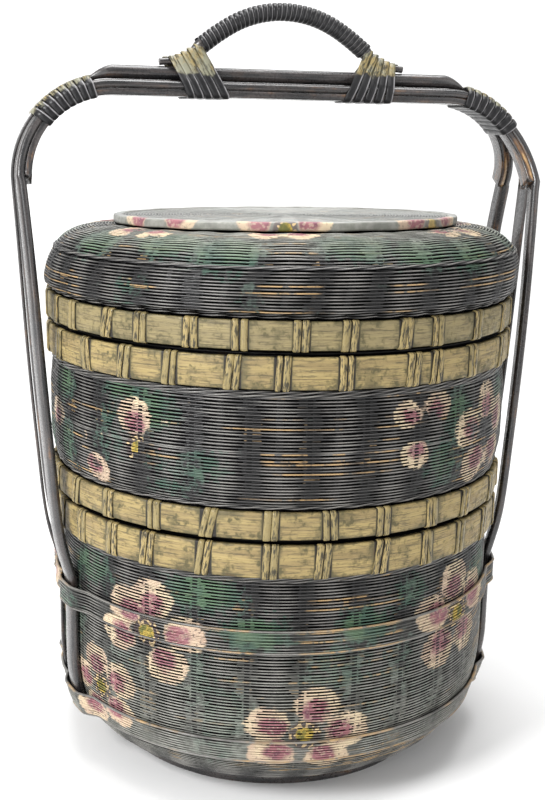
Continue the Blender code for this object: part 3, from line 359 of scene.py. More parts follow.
def smooth_through(points, steps):
    """Catmull-Rom curve through points: for each span a cubic of t = 0..1."""
    points = np.asarray(points, float)
    guide = np.vstack([2 * points[0] - points[1], points, 2 * points[-1] - points[-2]])
    a, b, c, d = guide[:-3, None], guide[1:-2, None], guide[2:-1, None], guide[3:, None]
    t = (np.arange(steps) / steps)[None, :, None]
    curve = (2 * b + (c - a) * t + (2 * a - 5 * b + 4 * c - d) * t ** 2
             + (3 * b - a - 3 * c + d) * t ** 3) / 2
    return np.vstack([curve.reshape(-1, points.shape[1]), points[-1:]])


def length_along(points):
    """Running length of a path, starting at 0."""
    return np.concatenate([[0.0], np.cumsum(np.linalg.norm(np.diff(points, axis=0), axis=1))])


def evenly(points, normals, spacing):
    """Read a path and its normals again at even steps of its length."""
    run = length_along(points)
    at = np.linspace(0, run[-1], int(run[-1] / spacing) + 2)
    path = np.stack([np.interp(at, run, points[:, k]) for k in range(3)], -1)
    side = np.stack([np.interp(at, run, normals[:, k]) for k in range(3)], -1)
    return path, side / np.linalg.norm(side, axis=1)[:, None], at


def carried(path, normals, outline, swell=None):
    """Carry an outline of (across, outward) points along a path.

    At each path point the outward axis is the normal with its part along the
    path taken off, and the across axis is the path's direction x outward.
    Point = path + across axis * a + outward axis * b. swell scales (a, b).
    """
    along = np.gradient(path, axis=0)
    along /= np.linalg.norm(along, axis=1)[:, None]
    outward = normals - along * (normals * along).sum(1)[:, None]
    outward /= np.linalg.norm(outward, axis=1)[:, None]
    across = np.cross(along, outward)
    outline = np.asarray(outline, float)
    size = np.ones((len(path), 1)) if swell is None else np.asarray(swell).reshape(-1, 1)
    a = outline[None, :, 0] * size
    b = outline[None, :, 1] * size
    return path[:, None] + across[:, None] * a[..., None] + outward[:, None] * b[..., None]


def outline_run(outline):
    """Length along a closed outline, one value more than it has points."""
    outline = np.asarray(outline, float)
    return length_along(np.vstack([outline, outline[:1]]))


def strap_outline(width, thickness):
    """Flat cane: a level inside and a softly crowned outside."""
    w, t = width / 2, thickness
    return [(-w, 0.1 * t), (-w * 0.86, 0.0), (w * 0.86, 0.0), (w, 0.1 * t),
            (w * 0.80, t * 0.86), (0.0, t), (-w * 0.80, t * 0.86)]


# ------------------------------------------------------------------- weave


def offset_profile(points, distance):
    """Move a (radius, height) profile to its right-hand side by a distance."""
    points = np.asarray(points, float)
    along = np.gradient(points, axis=0)
    along /= np.linalg.norm(along, axis=1)[:, None]
    return points + np.stack([along[:, 1], -along[:, 0]], -1) * distance


def lower_profile():
    """Outside of the lower tier from its ledge to its rim.

    A quarter ellipse r = R0 + dR sin q, z = z0 + dz (1 - cos q), then the
    upright body, the drawn-in neck and the rim.
    """
    q = np.linspace(0, math.pi / 2, 40)
    bowl = np.stack([BASE_RADIUS + (LOWER_RADIUS - BASE_RADIUS) * np.sin(q),
                     FLOOR_LEVEL + 0.0617 * (1 - np.cos(q))], -1)
    ledge = np.stack([np.linspace(0.0930, 0.1050, 8), np.full(8, FLOOR_LEVEL)], -1)
    rest = np.array([(LOWER_RADIUS, 0.0900), (LOWER_RADIUS, 0.1150), (LOWER_RADIUS, 0.1380),
                     (LOWER_RADIUS - 0.0007, 0.1445), (LOWER_RIM_RADIUS - 0.0019, 0.1520),
                     (LOWER_RIM_RADIUS - 0.0012, 0.1600), (LOWER_RIM_RADIUS - 0.0002, 0.1722)])
    return np.vstack([ledge, bowl, rest])


def upper_profile():
    """Outside of the upper tier: it swells between its two bands."""
    bottom, top = UPPER_FOOT_BAND[1], UPPER_RIM_BAND[0]
    t = np.linspace(0, 1, 41)
    swell = np.minimum(1.0, np.sin(math.pi * t) * 1.25 + 0.05) ** 0.7
    radius = UPPER_BASE_RADIUS + (RIM_RADIUS - UPPER_BASE_RADIUS) * t
    radius = radius + (UPPER_RADIUS - radius) * swell
    body = np.stack([radius, bottom + (top - bottom) * t], -1)
    return np.vstack([[(UPPER_BASE_RADIUS, UPPER_FOOT_BAND[0] + 0.0005)], body,
                      [(RIM_RADIUS, UPPER_RIM_BAND[1] - 0.0005)]])


def lid_profile():
    """Outside of the lid: behind its band, up the wall and over the dome.

    The dome is a quarter of a superellipse: both of its half sizes go with
    the cosine and the sine of q to the power of 0.80.
    """
    start = LID_BAND[1]
    dome_start = 0.3140
    edge = DISC_RADIUS + 0.0015
    q = np.linspace(0, math.pi / 2, 40)
    dome = np.stack([edge + (LID_RADIUS - edge) * np.cos(q) ** 0.80,
                     dome_start + (LID_TOP - dome_start) * np.sin(q) ** 0.80], -1)
    wall = np.array([(RIM_RADIUS, LID_BAND[0] + 0.0005), (RIM_RADIUS, start - 0.0010),
                     (RIM_RADIUS + 0.0022, start + 0.0012), (LID_RADIUS - 0.0011, start + 0.0044),
                     (LID_RADIUS - 0.0003, start + 0.0090)])
    shelf = np.array([(edge - 0.0035, LID_TOP - 0.0001)])
    return np.vstack([wall, dome, shelf])


def read_profile(profile, at):
    """Radius, height and unit direction of a profile at running lengths."""
    run = length_along(profile)
    dense = np.linspace(0, run[-1], 1200)
    fine = np.stack([np.interp(dense, run, profile[:, k]) for k in range(2)], -1)
    kernel = np.hanning(31)
    kernel /= kernel.sum()
    padded = np.vstack([np.repeat(fine[:1], 15, 0), fine, np.repeat(fine[-1:], 15, 0)])
    soft = np.stack([np.convolve(padded[:, k], kernel, "valid") for k in range(2)], -1)
    along = np.gradient(soft, axis=0)
    along /= np.linalg.norm(along, axis=1)[:, None]
    return (np.interp(at, dense, soft[:, 0]), np.interp(at, dense, soft[:, 1]),
            np.interp(at, dense, along[:, 0]), np.interp(at, dense, along[:, 1]))


def paint_fields(angle, run, radius, blossoms, leaves, run_of_height):
    """Distances that the painted motif is drawn from.

    The weave pulls a blossom 1.10 times wide and 0.92 times high. For each
    petal (x, y) is the way from the petal's middle along and across its
    axis, over its half sizes. The first field is the least length of
    (x, y), the second the least length from the rose patch, the third the
    distance from the blossom's eye, and keep how much of the paint is left.
    A leaf's field is 1 minus its own distance, times its strength.
    """
    petal = np.full(angle.shape, 9.0)
    rose = np.full(angle.shape, 9.0)
    eye = np.full(angle.shape, 9.0)
    keep = np.zeros(angle.shape)
    for where, height, turn, size, strengths in blossoms:
        apart = np.angle(np.exp(1j * (angle - math.radians(where)))) * radius
        rise = run - run_of_height(height)
        reach = np.hypot(apart, rise)
        if reach.min() > 0.06:
            continue
        eye = np.minimum(eye, reach / (0.0062 * size))
        for number, strength in enumerate(strengths):
            if strength == 0:
                continue
            bearing = math.radians(turn[number] if isinstance(turn, tuple) else turn + 72 * number)
            x = apart / 1.10 * math.cos(bearing) + rise / 0.92 * math.sin(bearing)
            y = rise / 0.92 * math.cos(bearing) - apart / 1.10 * math.sin(bearing)
            spread = 1 + 0.07 * math.sin(number * 2.3 + where)
            middle = 0.0220 * size * (1 + 0.05 * math.cos(number * 1.7 + where))
            own = np.hypot((x - middle) / (0.0122 * size), y / (0.0124 * size * spread))
            keep = np.where(own < petal, strength, keep)
            petal = np.minimum(petal, own)
            rose = np.minimum(rose, np.hypot((x - middle + 0.0040 * size) / (0.0088 * size),
                                             y / (0.0082 * size * spread)))
    leaf = np.zeros(angle.shape)
    for where, height, half_width, half_height, strength in leaves:
        apart = np.angle(np.exp(1j * (angle - math.radians(where)))) * radius
        rise = run - run_of_height(height)
        away = np.hypot(apart / half_width, rise / half_height)
        leaf = np.maximum(leaf, np.clip(1.65 - away, 0, 1) * strength)
    return np.stack([petal, rose, eye], -1), keep, leaf


def weave_rows(profile, at, stakes, swing, half_height, half_thickness, seed, points=9,
               lift=None, motif=None, dust_and_sheen=None):
    """Closed weavers that pass in front of one stake and behind the next.

    Row n lies at running length s_n of the profile. At angle a it stands
    off the wall's middle by swing * sin(pi / 2 * cos(stakes / 2 * a + n pi))
    along the wall's normal, with a small drift of its own in the phase, and
    its section is a pentagon on an ellipse of the two half sizes. The even
    rows stay prouder than the odd ones, 0.6 of the swing apart, so their
    lines run on across the stakes. Slow sines of the angle let each row
    wander a little up and down.
    """
    rng = np.random.default_rng(seed)
    rows = len(at)
    count = stakes // 2 * points
    angle = np.arange(count) * math.tau / count
    radius, height, along_r, along_z = read_profile(profile, at)
    number = np.arange(rows)
    drift = 0.30 * np.sin(rng.integers(3, 8, (rows, 1)) * angle[None] + rng.uniform(0, math.tau, (rows, 1)))
    drift = drift + rng.normal(0, 0.16, (rows, 1)) + 0.35 * np.sin(number * 0.13 + seed)[:, None]
    wave = np.sin(math.pi / 2 * np.cos(stakes / 2 * angle[None] + number[:, None] * math.pi + drift))
    wave = 0.40 * wave + 0.60 * np.where(number % 2, -1.0, 1.0)[:, None]
    stand_off = swing * wave * (1 + 0.12 * rng.standard_normal((rows, 1)))
    if lift is not None:
        stand_off = stand_off + lift(angle)[None]
    wander = np.zeros((rows, count))
    for waves in (2, 3, 5, 9):
        wander += np.sin(waves * angle[None] + rng.uniform(0, math.tau, (rows, 1))) * 0.00006
    thick = 1 + 0.10 * rng.standard_normal((rows, 1)).clip(-1.5, 1.5)
    section = (np.arange(5) + 0.5) * math.tau / 5
    up = half_height * thick[:, :, None] * np.sin(section) + wander[..., None]
    out = half_thickness * np.cos(section)[None, None] + stand_off[..., None]
    r = radius[:, None, None] + along_r[:, None, None] * up + along_z[:, None, None] * out
    z = height[:, None, None] + along_z[:, None, None] * up - along_r[:, None, None] * out
    grid = np.stack([r * np.cos(angle)[None, :, None], r * np.sin(angle)[None, :, None], z], -1)
    shape = (rows, count, 5)
    strand = rng.uniform(0, 1, (rows, 1)) + np.zeros((rows, count))
    joins = rng.uniform(0, math.tau, (rows, 1))
    second = rng.uniform(0, 1, (rows, 1))
    # Painted shade: rows within 1.8 mm of the heights where the bands meet take none of the painted light, which
    # comes back by 3.8 mm
    meeting = np.abs(height[:, None] - np.array((LOWER_BAND[1], UPPER_RIM_BAND[1]))).min(1)
    deep = np.clip(meeting / 0.0020 - 0.9, 0, 1)
    strand = np.where((angle[None] - joins) % math.tau < 2.2, second, strand)
    # Painted light and shade for the finish: how far each row stands out, times each edge's share and the painted
    # shade by the bands
    fields = {
        "strand": np.broadcast_to(strand[..., None], shape),
        "painted_light": np.broadcast_to((wave[..., None] * 0.5 + 0.5) ** 0.85 * SECTION_LIGHT
                                 * deep[:, None, None], shape),
        "dust_and_sheen": np.broadcast_to((dust_and_sheen(height) if dust_and_sheen else height * 0)[:, None, None], shape),
    }
    if motif is not None:
        blossoms, leaves, run_of_height = motif
        bloom, keep, leaf = paint_fields(np.broadcast_to(angle[None], (rows, count)),
                                         at[:, None] + wander, radius[:, None], blossoms, leaves,
                                         run_of_height)
        outer = (np.cos(section) > -0.6)[None, None]
        fields["bloom"] = np.broadcast_to(bloom[:, :, None], shape + (3,))
        fields["keep"] = keep[..., None] * outer
        fields["leaf"] = leaf[..., None] * outer
    u = np.arange(count + 1) * math.tau / count * radius.max()
    v = at[:, None] + np.concatenate([np.sin(section), np.sin(section[:1])])[None] * half_height
    return grid, np.broadcast_to(u[None], (rows, count + 1)), v, fields


def height_reader(profile):
    """Running length of a profile at a height, for placing the motif."""
    run = length_along(profile)
    heights = np.maximum.accumulate(profile[:, 1] + np.arange(len(profile)) * 1e-9)
    return lambda height: float(np.interp(height, heights, run))


def stakes_of(profile, at, stakes, width, thickness, shift=0.0):
    """Upright stakes: a flat outline carried up the wall's middle."""
    radius, height, along_r, along_z = read_profile(profile, at)
    angle = np.arange(stakes) * math.tau / stakes + shift
    turn = np.arange(6) * math.tau / 6
    across = np.cos(turn)[None, None] * width / 2 * (radius / radius.max())[None, :, None]
    out = np.sin(turn)[None, None] * thickness / 2 + np.zeros((1, len(at), 1))
    r = radius[None, :, None] + along_z[None, :, None] * out
    z = height[None, :, None] - along_r[None, :, None] * out
    cos, sin = np.cos(angle)[:, None, None], np.sin(angle)[:, None, None]
    return np.stack([r * cos - across * sin, r * sin + across * cos, z + across * 0 * cos], -1)


def twined_row(radius, height, tilt, stakes, size, seed):
    """Two weavers twisted round each other.

    Strand k stands off the row by 0.30 size cos(p) outwards and 0.55 size
    sin(p) upwards with p = stakes / 2 * a + k pi, so they change places at
    every stake.
    """
    rng = np.random.default_rng(seed)
    count = stakes * 10
    angle = np.arange(count) * math.tau / count
    phase = stakes / 2 * angle[None] + np.arange(2)[:, None] * math.pi
    wander = np.sin(3 * angle + rng.uniform(0, math.tau)) * 0.00012
    section = (np.arange(5) + 0.5) * math.tau / 5
    off = size * 0.30 * np.cos(phase)[..., None] + size * 0.62 * np.cos(section)
    up = size * 0.55 * np.sin(phase)[..., None] + size * 0.60 * np.sin(section) + wander[None, :, None]
    r = radius + off * math.cos(tilt) - up * math.sin(tilt)
    z = height + up * math.cos(tilt) + off * math.sin(tilt)
    grid = np.stack([r * np.cos(angle)[None, :, None], r * np.sin(angle)[None, :, None], z], -1)
    u = np.broadcast_to(np.arange(count + 1) * math.tau / count * radius, (2, count + 1))
    v = np.broadcast_to(np.linspace(0, size * 4, 6), (2, 6)) + np.array([[0.0], [0.01]])
    strand = np.array([[[0.35]], [[0.7]]]) + np.zeros((2, count, 5))
    # Painted light: the strand in front is painted lighter, each edge by its share of the painted light
    painted_light = (np.cos(phase) * 0.25 + 0.75)[..., None] * SECTION_LIGHT
    return grid, u, v, {"strand": strand, "painted_light": painted_light}


# ---------------------------------------------------------------- finishes


class Finish:
    """One material's node tree, built by short calls."""

    def __init__(self, name):
        self.material = bpy.data.materials.new("aged_" + name)
        self.material.use_nodes = True
        self.tree = self.material.node_tree
        self.tree.nodes.clear()
        self.surface = self.add("ShaderNodeBsdfPrincipled")
        output = self.add("ShaderNodeOutputMaterial")
        self.tree.links.new(self.surface.outputs[0], output.inputs[0])

    def add(self, kind, **settings):
        made = self.tree.nodes.new(kind)
        for key, value in settings.items():
            setattr(made, key, value)
        return made

    def put(self, value, socket):
        if isinstance(value, bpy.types.NodeSocket):
            self.tree.links.new(value, socket)
        elif isinstance(value, (int, float)):
            socket.default_value = value
        else:
            wanted = len(socket.default_value)
            socket.default_value = (*tuple(value)[:3], 1.0)[:wanted]

    def reckon(self, operation, *values):
        made = self.add("ShaderNodeMath", operation=operation)
        for value, socket in zip(values, made.inputs):
            self.put(value, socket)
        return made.outputs[0]

    def step(self, value, low, high, out_low=0.0, out_high=1.0):
        made = self.add("ShaderNodeMapRange", interpolation_type="SMOOTHSTEP")
        for number, socket in zip((value, low, high, out_low, out_high), made.inputs):
            self.put(number, socket)
        return made.outputs[0]

    def mix(self, share, first, second, blend="MIX"):
        made = self.add("ShaderNodeMix", data_type="RGBA", blend_type=blend)
        self.put(share, made.inputs[0])
        self.put(first, made.inputs[6])
        self.put(second, made.inputs[7])
        return made.outputs[2]

    def own(self, name):
        return self.add("ShaderNodeAttribute", attribute_name=name)

    def parts(self, vector):
        made = self.add("ShaderNodeSeparateXYZ")
        self.put(vector, made.inputs[0])
        return made.outputs

    def scaled(self, vector, scale):
        made = self.add("ShaderNodeVectorMath", operation="MULTIPLY")
        self.put(vector, made.inputs[0])
        made.inputs[1].default_value = scale
        return made.outputs[0]

    def unrolled(self, scale):
        return self.scaled(self.add("ShaderNodeUVMap", uv_map="unrolled").outputs[0], scale)

    def place(self):
        return self.add("ShaderNodeTexCoord").outputs["Object"]

    def noise(self, vector, scale, detail=2.0, rough=0.5):
        made = self.add("ShaderNodeTexNoise")
        self.put(vector, made.inputs["Vector"])
        made.inputs["Scale"].default_value = scale
        made.inputs["Detail"].default_value = detail
        made.inputs["Roughness"].default_value = rough
        return made.outputs[0]

    def finish(self, colour, roughness, relief=None, depth=0.0002, gloss=0.5, coat=0.0):
        self.put(colour, self.surface.inputs["Base Color"])
        self.put(roughness, self.surface.inputs["Roughness"])
        self.put(gloss, self.surface.inputs["Specular IOR Level"])
        self.surface.inputs["Coat Weight"].default_value = coat
        self.surface.inputs["Coat Roughness"].default_value = 0.25
        if relief is not None:
            bump = self.add("ShaderNodeBump")
            bump.inputs["Strength"].default_value = 0.6
            bump.inputs["Distance"].default_value = depth
            self.put(relief, bump.inputs["Height"])
            self.tree.links.new(bump.outputs[0], self.surface.inputs["Normal"])
        return self.material


def painted_weave_finish(colours):
    """Lacquered weavers with petals, rose patches, eyes and leaves painted on."""
    f = Finish("painted_weave")
    place = f.place()
    fine = f.noise(place, 420.0, 2.0)
    dab = f.noise(place, 210.0, 3.0, 0.6)
    blotch = f.noise(place, 60.0, 3.0, 0.6)
    cloud = f.noise(place, 22.0, 2.0)
    grain = f.noise(f.unrolled((120.0, 3400.0, 1.0)), 1.0, 2.0)
    strand = f.own("strand").outputs["Fac"]
    painted_light = f.own("painted_light").outputs["Fac"]
    petal, rose, eye = f.parts(f.own("bloom").outputs["Vector"])
    keep = f.own("keep").outputs["Fac"]
    leaf = f.own("leaf").outputs["Fac"]

    dust_and_sheen = f.own("dust_and_sheen").outputs["Fac"]

    # Painted highlight: the upper outside of the weavers that stand out is painted pale grey over the lacquer, in
    # patches
    lit = f.reckon("MULTIPLY", f.step(blotch, 0.25, 0.65, 0.35, 1.0), f.step(painted_light, 0.45, 1.0))
    colour = f.mix(lit, colours.lacquer, (0.215, 0.205, 0.190))
    column = f.noise(f.unrolled((85.0, 9.0, 1.0)), 1.0, 1.0)
    rubbed = f.reckon("MULTIPLY", f.step(strand, 0.70, 0.82), f.step(cloud, 0.46, 0.54))
    column = f.reckon("MAXIMUM", f.step(column, 0.54, 0.60), f.step(strand, 0.86, 0.90))
    rubbed = f.reckon("MULTIPLY", rubbed, column)
    rubbed = f.reckon("MULTIPLY", rubbed, f.step(dab, 0.32, 0.52))
    colour = f.mix(f.reckon("MULTIPLY", rubbed, 0.85), colour, colours.worn)

    pale = f.mix(f.step(blotch, 0.4, 0.65), colours.leaf, (0.115, 0.155, 0.130))
    brushed = f.reckon("SUBTRACT", f.reckon("MULTIPLY", leaf, 1.25), f.step(dab, 0.25, 0.72))
    brushed = f.reckon("ADD", brushed, f.reckon("MULTIPLY", strand, 0.22))
    green = f.step(brushed, -0.05, 0.60, 0.0, 0.90)
    pale = f.mix(f.reckon("MULTIPLY", f.step(leaf, 0.55, 1.0), f.step(blotch, 0.30, 0.60)), pale,
                 (0.085, 0.160, 0.085))
    colour = f.mix(green, colour, pale)
    streak = f.reckon("ADD", f.reckon("MULTIPLY", blotch, 0.6), f.reckon("MULTIPLY", grain, 0.4))
    # Dust in pale and darker greys. Above 1, on the lid's disc and the top of its lip, a paler grey is a painted
    # sheen for the bright surroundings the disc reflects
    dust_and_sheen_colour = f.mix(f.step(dab, 0.35, 0.65), (0.315, 0.312, 0.278), (0.215, 0.222, 0.190))
    dust_and_sheen_colour = f.mix(f.step(dust_and_sheen, 1.0, 1.4), dust_and_sheen_colour, f.mix(f.step(streak, 0.44, 0.56), (0.39, 0.39, 0.365),
                                                       (0.25, 0.26, 0.245)))
    cover = f.reckon("MULTIPLY", f.reckon("MINIMUM", dust_and_sheen, 1.0), f.step(blotch, 0.25, 0.65, 0.45, 0.95))
    colour = f.mix(cover, colour, dust_and_sheen_colour)

    wobble = f.reckon("MULTIPLY", f.reckon("SUBTRACT", dab, 0.5), 0.40)
    wobble = f.reckon("ADD", wobble, f.reckon("MULTIPLY", f.reckon("SUBTRACT", strand, 0.5), 0.10))
    inside = f.step(f.reckon("ADD", petal, wobble), 1.06, 0.92)
    wear = f.reckon("SUBTRACT", keep, f.step(blotch, 0.28, 0.74, 0.05, 0.95))
    painted = f.reckon("MULTIPLY", inside, f.step(wear, -0.08, 0.10))
    painted = f.reckon("MULTIPLY", painted, f.step(fine, 0.70, 0.60, 0.55, 1.0))
    cream = f.mix(f.step(blotch, 0.35, 0.68), colours.petal, (0.50, 0.37, 0.28))
    cream = f.mix(f.step(fine, 0.56, 0.70, 0.0, 0.60), cream, (0.20, 0.13, 0.11))
    deep = f.reckon("MAXIMUM", f.step(dab, 0.42, 0.62, 0.0, 0.8), f.step(eye, 3.0, 1.8, 0.0, 0.6))
    blush = f.mix(deep, colours.rose, (0.135, 0.055, 0.085))
    blush = f.mix(f.step(fine, 0.50, 0.64, 0.0, 0.60), blush, (0.60, 0.43, 0.34))
    patch = f.step(f.reckon("ADD", rose, f.reckon("MULTIPLY", wobble, 1.9)), 1.10, 0.62)
    colour = f.mix(painted, colour, f.mix(patch, cream, blush))

    centre = f.reckon("ADD", eye, f.reckon("MULTIPLY", wobble, 0.6))
    ring = f.reckon("MULTIPLY", f.step(centre, 1.65, 1.35), f.step(keep, 0.84, 0.94))
    ring = f.reckon("MULTIPLY", ring, f.step(petal, 0.75, 1.05))
    colour = f.mix(f.reckon("MULTIPLY", ring, 0.65), colour, (0.075, 0.045, 0.045))
    dots = f.reckon("MULTIPLY", ring, f.step(f.noise(place, 430.0, 0.0), 0.54, 0.60))
    colour = f.mix(dots, colour, (0.62, 0.46, 0.25))
    middle = f.reckon("MULTIPLY", f.step(centre, 0.95, 0.75), f.step(keep, 0.84, 0.94))
    colour = f.mix(middle, colour, f.mix(f.step(dab, 0.4, 0.6), colours.eye, (0.13, 0.13, 0.04)))

    # Painted shade: where the painted light is low the colour is darkened, less so under paint, green and dust
    covered = f.reckon("MAXIMUM", f.reckon("MAXIMUM", painted, middle),
                       f.reckon("MULTIPLY", f.reckon("MINIMUM", dust_and_sheen, 1.0), 0.40))
    covered = f.reckon("MAXIMUM", covered, f.reckon("MULTIPLY", green, 0.7))
    bare_shade = f.step(painted_light, 0.0, 0.80, 0.05, 1.0)
    full_shade = f.step(painted_light, 0.0, 0.40, 0.58, 1.0)
    shade = f.reckon("ADD", f.reckon("MULTIPLY", bare_shade, f.reckon("SUBTRACT", 1.0, covered)),
                     f.reckon("MULTIPLY", full_shade, covered))
    shade = f.reckon("ADD", shade, f.reckon("MULTIPLY", f.reckon("MULTIPLY", painted, 0.45),
                                            f.reckon("SUBTRACT", 1.0, shade)))
    colour = f.mix(1.0, colour, f.mix(shade, (0.0, 0.0, 0.0), (1.0, 1.0, 1.0)), "MULTIPLY")
    roughness = f.step(fine, 0.3, 0.7, 0.32, 0.50)
    gloss = f.reckon("MULTIPLY", bare_shade, f.reckon("SUBTRACT", 0.60, f.reckon("MULTIPLY", covered, 0.35)))
    return f.finish(colour, roughness, grain, 0.00012, gloss)


def gold_bamboo_finish(colours):
    """Aged gold paint with a grain along the strip, dirt at its edges, and painted shade beside the ties."""
    f = Finish("gold_bamboo")
    place = f.place()
    grain = f.noise(f.unrolled((18.0, 2600.0, 1.0)), 1.0, 4.0, 0.6)
    long = f.noise(f.unrolled((22.0, 260.0, 1.0)), 1.0, 3.0, 0.6)
    blotch = f.noise(place, 70.0, 4.0, 0.65)
    fleck = f.noise(place, 330.0, 2.0)
    grime_and_shadow = f.own("grime_and_shadow").outputs["Fac"]
    olive = f.own("olive").outputs["Fac"]
    colour = f.mix(f.step(long, 0.36, 0.66), colours.gold, (0.24, 0.175, 0.075))
    colour = f.mix(f.reckon("MULTIPLY", olive, 0.8), colour, (0.175, 0.155, 0.085))
    colour = f.mix(f.step(grain, 0.52, 0.72, 0.0, 0.5), colour, (0.44, 0.35, 0.17))
    colour = f.mix(f.step(grain, 0.47, 0.30, 0.0, 0.8), colour, (0.090, 0.060, 0.026))
    smear = f.noise(f.unrolled((70.0, 700.0, 1.0)), 1.0, 4.0, 0.7)
    colour = f.mix(f.step(smear, 0.50, 0.62, 0.0, 0.80), colour, (0.080, 0.063, 0.032))
    dirt = f.reckon("ADD", f.reckon("MULTIPLY", f.reckon("MINIMUM", grime_and_shadow, 1.0), 0.95),
                    f.step(blotch, 0.38, 0.72, 0.0, 0.80))
    dirt = f.reckon("ADD", dirt, f.step(fleck, 0.50, 0.70, 0.0, 0.50))
    dirt = f.reckon("ADD", dirt, f.reckon("MULTIPLY", olive, 0.10))
    colour = f.mix(f.step(dirt, 0.25, 1.15, 0.0, 0.92), colour, colours.patina)
    brown = f.reckon("MULTIPLY", f.step(blotch, 0.60, 0.70), f.step(grime_and_shadow, 0.1, 0.6))
    colour = f.mix(f.reckon("MULTIPLY", brown, 0.6), colour, (0.10, 0.045, 0.018))
    # Painted shade: near black between and just beside the two straps of each tie
    colour = f.mix(f.step(grime_and_shadow, 1.1, 1.7), colour, (0.014, 0.011, 0.007))
    return f.finish(colour, f.step(fleck, 0.3, 0.7, 0.42, 0.65), grain, 0.00020, 0.40)


def lacquered_bamboo_finish(colours):
    """Black-brown lacquer that shows its grain, in lilac-grey streaks that are partly a painted highlight, and is
    rubbed brown in places.
    """
    f = Finish("lacquered_bamboo")
    place = f.place()
    grain = f.noise(f.unrolled((14.0, 1500.0, 1.0)), 1.0, 4.0, 0.6)
    long = f.noise(f.unrolled((30.0, 320.0, 1.0)), 1.0, 3.0, 0.55)
    blotch = f.noise(place, 48.0, 4.0, 0.65)
    fleck = f.noise(place, 520.0, 2.0)
    wear = f.own("wear").outputs["Fac"]
    colour = f.mix(f.step(long, 0.38, 0.64), colours.lacquer, (0.048, 0.040, 0.038))
    colour = f.mix(f.step(blotch, 0.52, 0.70, 0.0, 0.5), colour, (0.050, 0.030, 0.020))
    # Lilac-grey streaks along the grain: grain, and a painted highlight along the cane
    colour = f.mix(f.step(grain, 0.54, 0.70, 0.0, 0.50), colour, (0.125, 0.118, 0.125))
    rubbed = f.reckon("ADD", f.reckon("MULTIPLY", wear, 0.9), f.step(long, 0.30, 0.75, -0.35, 0.30))
    rubbed = f.reckon("ADD", rubbed, f.step(blotch, 0.36, 0.64, -0.25, 0.15))
    colour = f.mix(f.step(rubbed, 0.35, 0.85, 0.0, 0.85), colour, (0.17, 0.085, 0.035))
    bare = f.reckon("MULTIPLY", f.step(rubbed, 0.75, 1.05), f.step(grain, 0.35, 0.6))
    colour = f.mix(bare, colour, colours.worn)
    return f.finish(colour, f.step(fleck, 0.3, 0.7, 0.22, 0.38), grain, 0.00014, 0.5, 0.6)


def plain_bamboo_finish(colours):
    """Unpainted split bamboo inside and under the tiers.

    Where its shade field is 1, as on the hoops, it is painted black within 4 mm of a band's meeting edge, a painted
    shade in the gap between the bands.
    """
    f = Finish("plain_bamboo")
    place = f.place()
    grain = f.noise(f.scaled(place, (1.0, 1.0, 9.0)), 320.0, 3.0, 0.6)
    blotch = f.noise(place, 55.0, 3.0, 0.6)
    colour = f.mix(f.step(grain, 0.35, 0.65), (0.20, 0.11, 0.045), (0.30, 0.18, 0.08))
    colour = f.mix(f.step(blotch, 0.45, 0.70, 0.0, 0.7), colour, (0.075, 0.040, 0.020))
    _, _, level = f.parts(place)
    meeting = [f.step(f.reckon("ABSOLUTE", f.reckon("SUBTRACT", level, band[1])), 0.0055, 0.0040)
               for band in (LOWER_BAND, UPPER_RIM_BAND)]
    gap_shade = f.reckon("MULTIPLY", f.own("gap_shade").outputs["Fac"], f.reckon("MAXIMUM", *meeting))
    colour = f.mix(gap_shade, colour, (0.005, 0.004, 0.004))
    return f.finish(colour, f.step(grain, 0.3, 0.7, 0.42, 0.62), grain, 0.00015, 0.4)


def tie_cane_finish(colours):
    """Flat cane: olive gold where it is gilt, lacquered black elsewhere."""
    f = Finish("tie_cane")
    place = f.place()
    grain = f.noise(f.unrolled((60.0, 2600.0, 1.0)), 1.0, 3.0, 0.6)
    blotch = f.noise(place, 130.0, 3.0, 0.6)
    strand = f.own("strand").outputs["Fac"]
    gilt = f.own("gilt").outputs["Fac"]
    rim = f.step(f.own("rim").outputs["Fac"], 0.68, 0.90)
    gold = f.mix(f.step(strand, 0.2, 0.9), colours.cane, (0.33, 0.25, 0.105))
    gold = f.mix(f.step(grain, 0.50, 0.72, 0.0, 0.5), gold, (0.42, 0.35, 0.19))
    olive = f.mix(f.step(blotch, 0.40, 0.62), (0.205, 0.200, 0.145), (0.26, 0.20, 0.085))
    gold = f.mix(f.own("olive").outputs["Fac"], gold, olive)
    scratch = f.step(f.noise(f.unrolled((170.0, 950.0, 1.0)), 1.0, 3.0, 0.65), 0.46, 0.57)
    scratch = f.reckon("MULTIPLY", scratch, f.step(f.reckon("ADD", blotch, f.reckon("MULTIPLY", strand, 0.35)),
                                                   0.46, 0.68))
    gold = f.mix(f.reckon("MULTIPLY", scratch, 0.92), gold, (0.030, 0.029, 0.022))
    # The gilt cane is darker along its edges
    gold = f.mix(f.reckon("MULTIPLY", rim, 0.45), gold, colours.patina)
    black = f.mix(f.step(grain, 0.45, 0.70, 0.0, 0.6), colours.lacquer, (0.024, 0.023, 0.025))
    # Painted highlight: pale lines along the edges of the black cane
    black = f.mix(f.reckon("MULTIPLY", rim, f.step(blotch, 0.32, 0.55, 0.25, 0.90)), black,
                  (0.34, 0.33, 0.34))
    left = f.reckon("ADD", gilt, f.step(blotch, 0.25, 0.75, 0.22, -0.22))
    colour = f.mix(f.step(left, 0.40, 0.60), black, gold)
    return f.finish(colour, f.step(blotch, 0.3, 0.7, 0.24, 0.42), grain, 0.00014, 0.22, 0.1)


